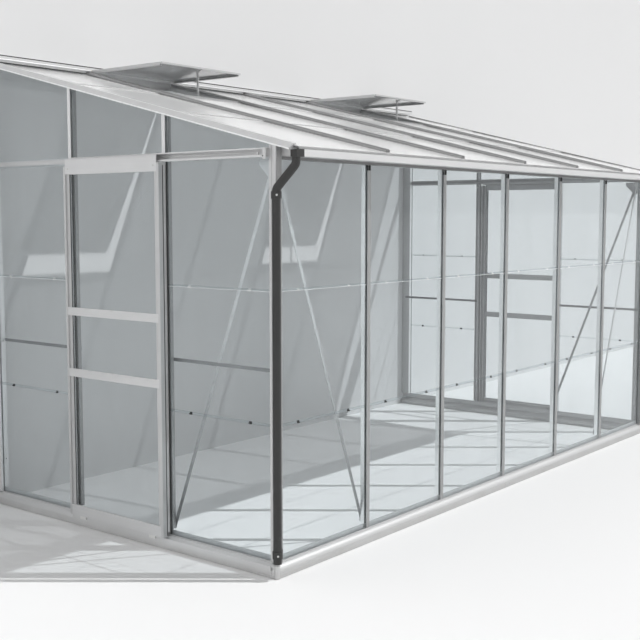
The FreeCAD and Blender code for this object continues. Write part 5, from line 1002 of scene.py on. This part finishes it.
class GREENHOUSE_OT_screws(bpy.types.Operator):
    """Adds the dark screw heads at the ends of the door tracks"""

    bl_idname = "greenhouse.screws"
    bl_label = "Track screws"

    def execute(self, context):
        look = context.scene.greenhouse_parts
        steel = clip_metal_painted_by_height("screw_steel", look.screw, look.screw)
        outline = ellipse(SCREW_RADIUS, SCREW_RADIUS)
        for name, sign in GABLES:
            feet = [(sign * SCREW_OUT, FRONT + depth, SCREW_HEIGHT) for depth in SCREW_DEPTHS]
            run = (sign * SCREW_RISE, 0.0, 0.0)
            fit(f"track_screws_{name}", outline, feet, run, (0.0, 1.0, 0.0), SCREW_RINGS, steel, "frame")
        return {"FINISHED"}


class GREENHOUSE_OT_stage(bpy.types.Operator):
    """Makes the floor, the wall behind, the light and the camera"""

    bl_idname = "greenhouse.stage"
    bl_label = "Stage"

    def execute(self, context):
        look = context.scene.greenhouse_stage
        scene = context.scene
        scene.view_settings.view_transform = "Standard"
        self.make_world(scene, look)
        self.make_floor(look)
        self.make_wall(look)
        self.make_lamp(scene, "key", look.key, KEY_ANGLE, KEY_PLACE)
        self.make_lamp(scene, "side", look.side, SIDE_ANGLE, SIDE_PLACE)
        self.make_camera(scene, look)
        return {"FINISHED"}

    def make_world(self, scene, look):
        """White light from all round. The camera and reflections see the backdrop's colour in its place."""
        world = scene.world or bpy.data.worlds.new("backdrop")
        scene.world = world
        paint = Paint("backdrop", world)
        path = paint.node("ShaderNodeLightPath").output.node.outputs
        seen = Wire(paint, path["Is Camera Ray"]).math("MAXIMUM", Wire(paint, path["Is Glossy Ray"]))
        seen = seen.math("MAXIMUM", Wire(paint, path["Is Transmission Ray"]))
        white = (1.0, 1.0, 1.0, 1.0)
        lit = paint.node("ShaderNodeBackground", None, {"Color": white, "Strength": look.ambient})
        back = paint.node("ShaderNodeBackground", None, {"Color": opaque(look.back), "Strength": 1.0})
        paint.finish(paint.layers(seen, lit, back), "ShaderNodeOutputWorld")

    def make_floor(self, look):
        """Painted light makes the floor a little brighter inside the house, with a soft edge."""
        paint = Paint("floor_paint")
        x, y, _ = paint.split(paint.place())
        inside = abs(x).fade(*FLOOR_SIDES) * y.step(*FLOOR_FRONT)
        colour = paint.blend(inside, opaque(look.floor), scaled(look.floor, 1.0 + look.lift))
        material = paint.finish(faded(paint, colour, look.back))
        corner = (-REACH, -REACH, GROUND)
        floor = flat_sheet("floor", corner, (2 * REACH, 0, 0), (0, 2 * REACH, 0), material)

    def make_wall(self, look):
        """The wall shows only from the front; painted shade darkens it behind the glass, with a soft edge."""
        paint = Paint("wall_paint")
        x, _, z = paint.split(paint.place())
        behind = abs(x).fade(*WALL_SIDES) * z.fade(*WALL_TOP) * z.step(*WALL_FOOT)
        colour = paint.blend(behind * look.shade, opaque(look.wall), scaled(look.wall, WALL_SHADE_TONE))
        away = paint.node("ShaderNodeNewGeometry", output="Backfacing")
        clear = paint.node("ShaderNodeBsdfTransparent")
        material = paint.finish(paint.layers(away, faded(paint, colour, look.back), clear))
        corner = (-REACH, CAD_BOX[1].y + WALL_GAP, GROUND)
        wall = flat_sheet("wall", corner, (2 * REACH, 0, 0), (0, 0, WALL_HEIGHT), material)

    def make_lamp(self, scene, name, power, angle, place):
        lamp = bpy.data.lights.new(name, "SUN")
        lamp.energy = power
        lamp.angle = angle
        thing = bpy.data.objects.new(name, lamp)
        thing.location = place
        thing.rotation_euler = (-Vector(place)).to_track_quat("-Z", "Y").to_euler()
        scene.collection.objects.link(thing)

    def make_camera(self, scene, look):
        """The photograph's viewpoint: 5.05 m left of the middle, 3.63 m in front of it, 1.44 m high."""
        data = bpy.data.cameras.new("camera")
        data.sensor_width = SENSOR
        data.lens = look.focal
        camera = bpy.data.objects.new("camera", data)
        camera.location = CAMERA_PLACE
        camera.rotation_euler = (math.radians(CAMERA_TILT), 0.0, math.radians(CAMERA_TURN))
        scene.collection.objects.link(camera)
        scene.camera = camera


class GREENHOUSE_PT_panel(bpy.types.Panel):
    """Lists the greenhouse's pieces"""

    bl_idname = "GREENHOUSE_PT_panel"
    bl_label = "Greenhouse"
    bl_space_type = "VIEW_3D"
    bl_region_type = "UI"
    bl_category = "Greenhouse"

    def draw(self, context):
        for operator in OPERATORS:
            self.layout.operator(operator.bl_idname)
        for name in LOOKS:
            look = getattr(context.scene, f"greenhouse_{name}")
            box = self.layout.box()
            box.label(text=name.capitalize())
            for prop in look.bl_rna.properties:
                if prop.identifier not in {"rna_type", "name"}:
                    box.prop(look, prop.identifier)


LOOKS = {"metal": MetalLook, "glass": GlassLook, "plastic": PlasticLook, "parts": PartsLook,
         "stage": StageLook}
OPERATORS = (
    GREENHOUSE_OT_stage,
    GREENHOUSE_OT_metal,
    GREENHOUSE_OT_glass,
    GREENHOUSE_OT_plastic,
    GREENHOUSE_OT_cap_ends,
    GREENHOUSE_OT_gaskets,
    GREENHOUSE_OT_closures,
    GREENHOUSE_OT_lap_beads,
    GREENHOUSE_OT_bar_tops,
    GREENHOUSE_OT_hinge_ends,
    GREENHOUSE_OT_rail_insides,
    GREENHOUSE_OT_screws,
)


def register():
    for name, look in LOOKS.items():
        bpy.utils.register_class(look)
        setattr(bpy.types.Scene, f"greenhouse_{name}", PointerProperty(type=look))
    for operator in OPERATORS:
        bpy.utils.register_class(operator)
    bpy.utils.register_class(GREENHOUSE_PT_panel)


def unregister():
    bpy.utils.unregister_class(GREENHOUSE_PT_panel)
    for operator in reversed(OPERATORS):
        bpy.utils.unregister_class(operator)
    for name, look in LOOKS.items():
        delattr(bpy.types.Scene, f"greenhouse_{name}")
        bpy.utils.unregister_class(look)


def main():
    register()
    for operator in OPERATORS:
        group, name = operator.bl_idname.split(".")
        getattr(getattr(bpy.ops, group), name)()


if __name__ == "__main__":
    main()
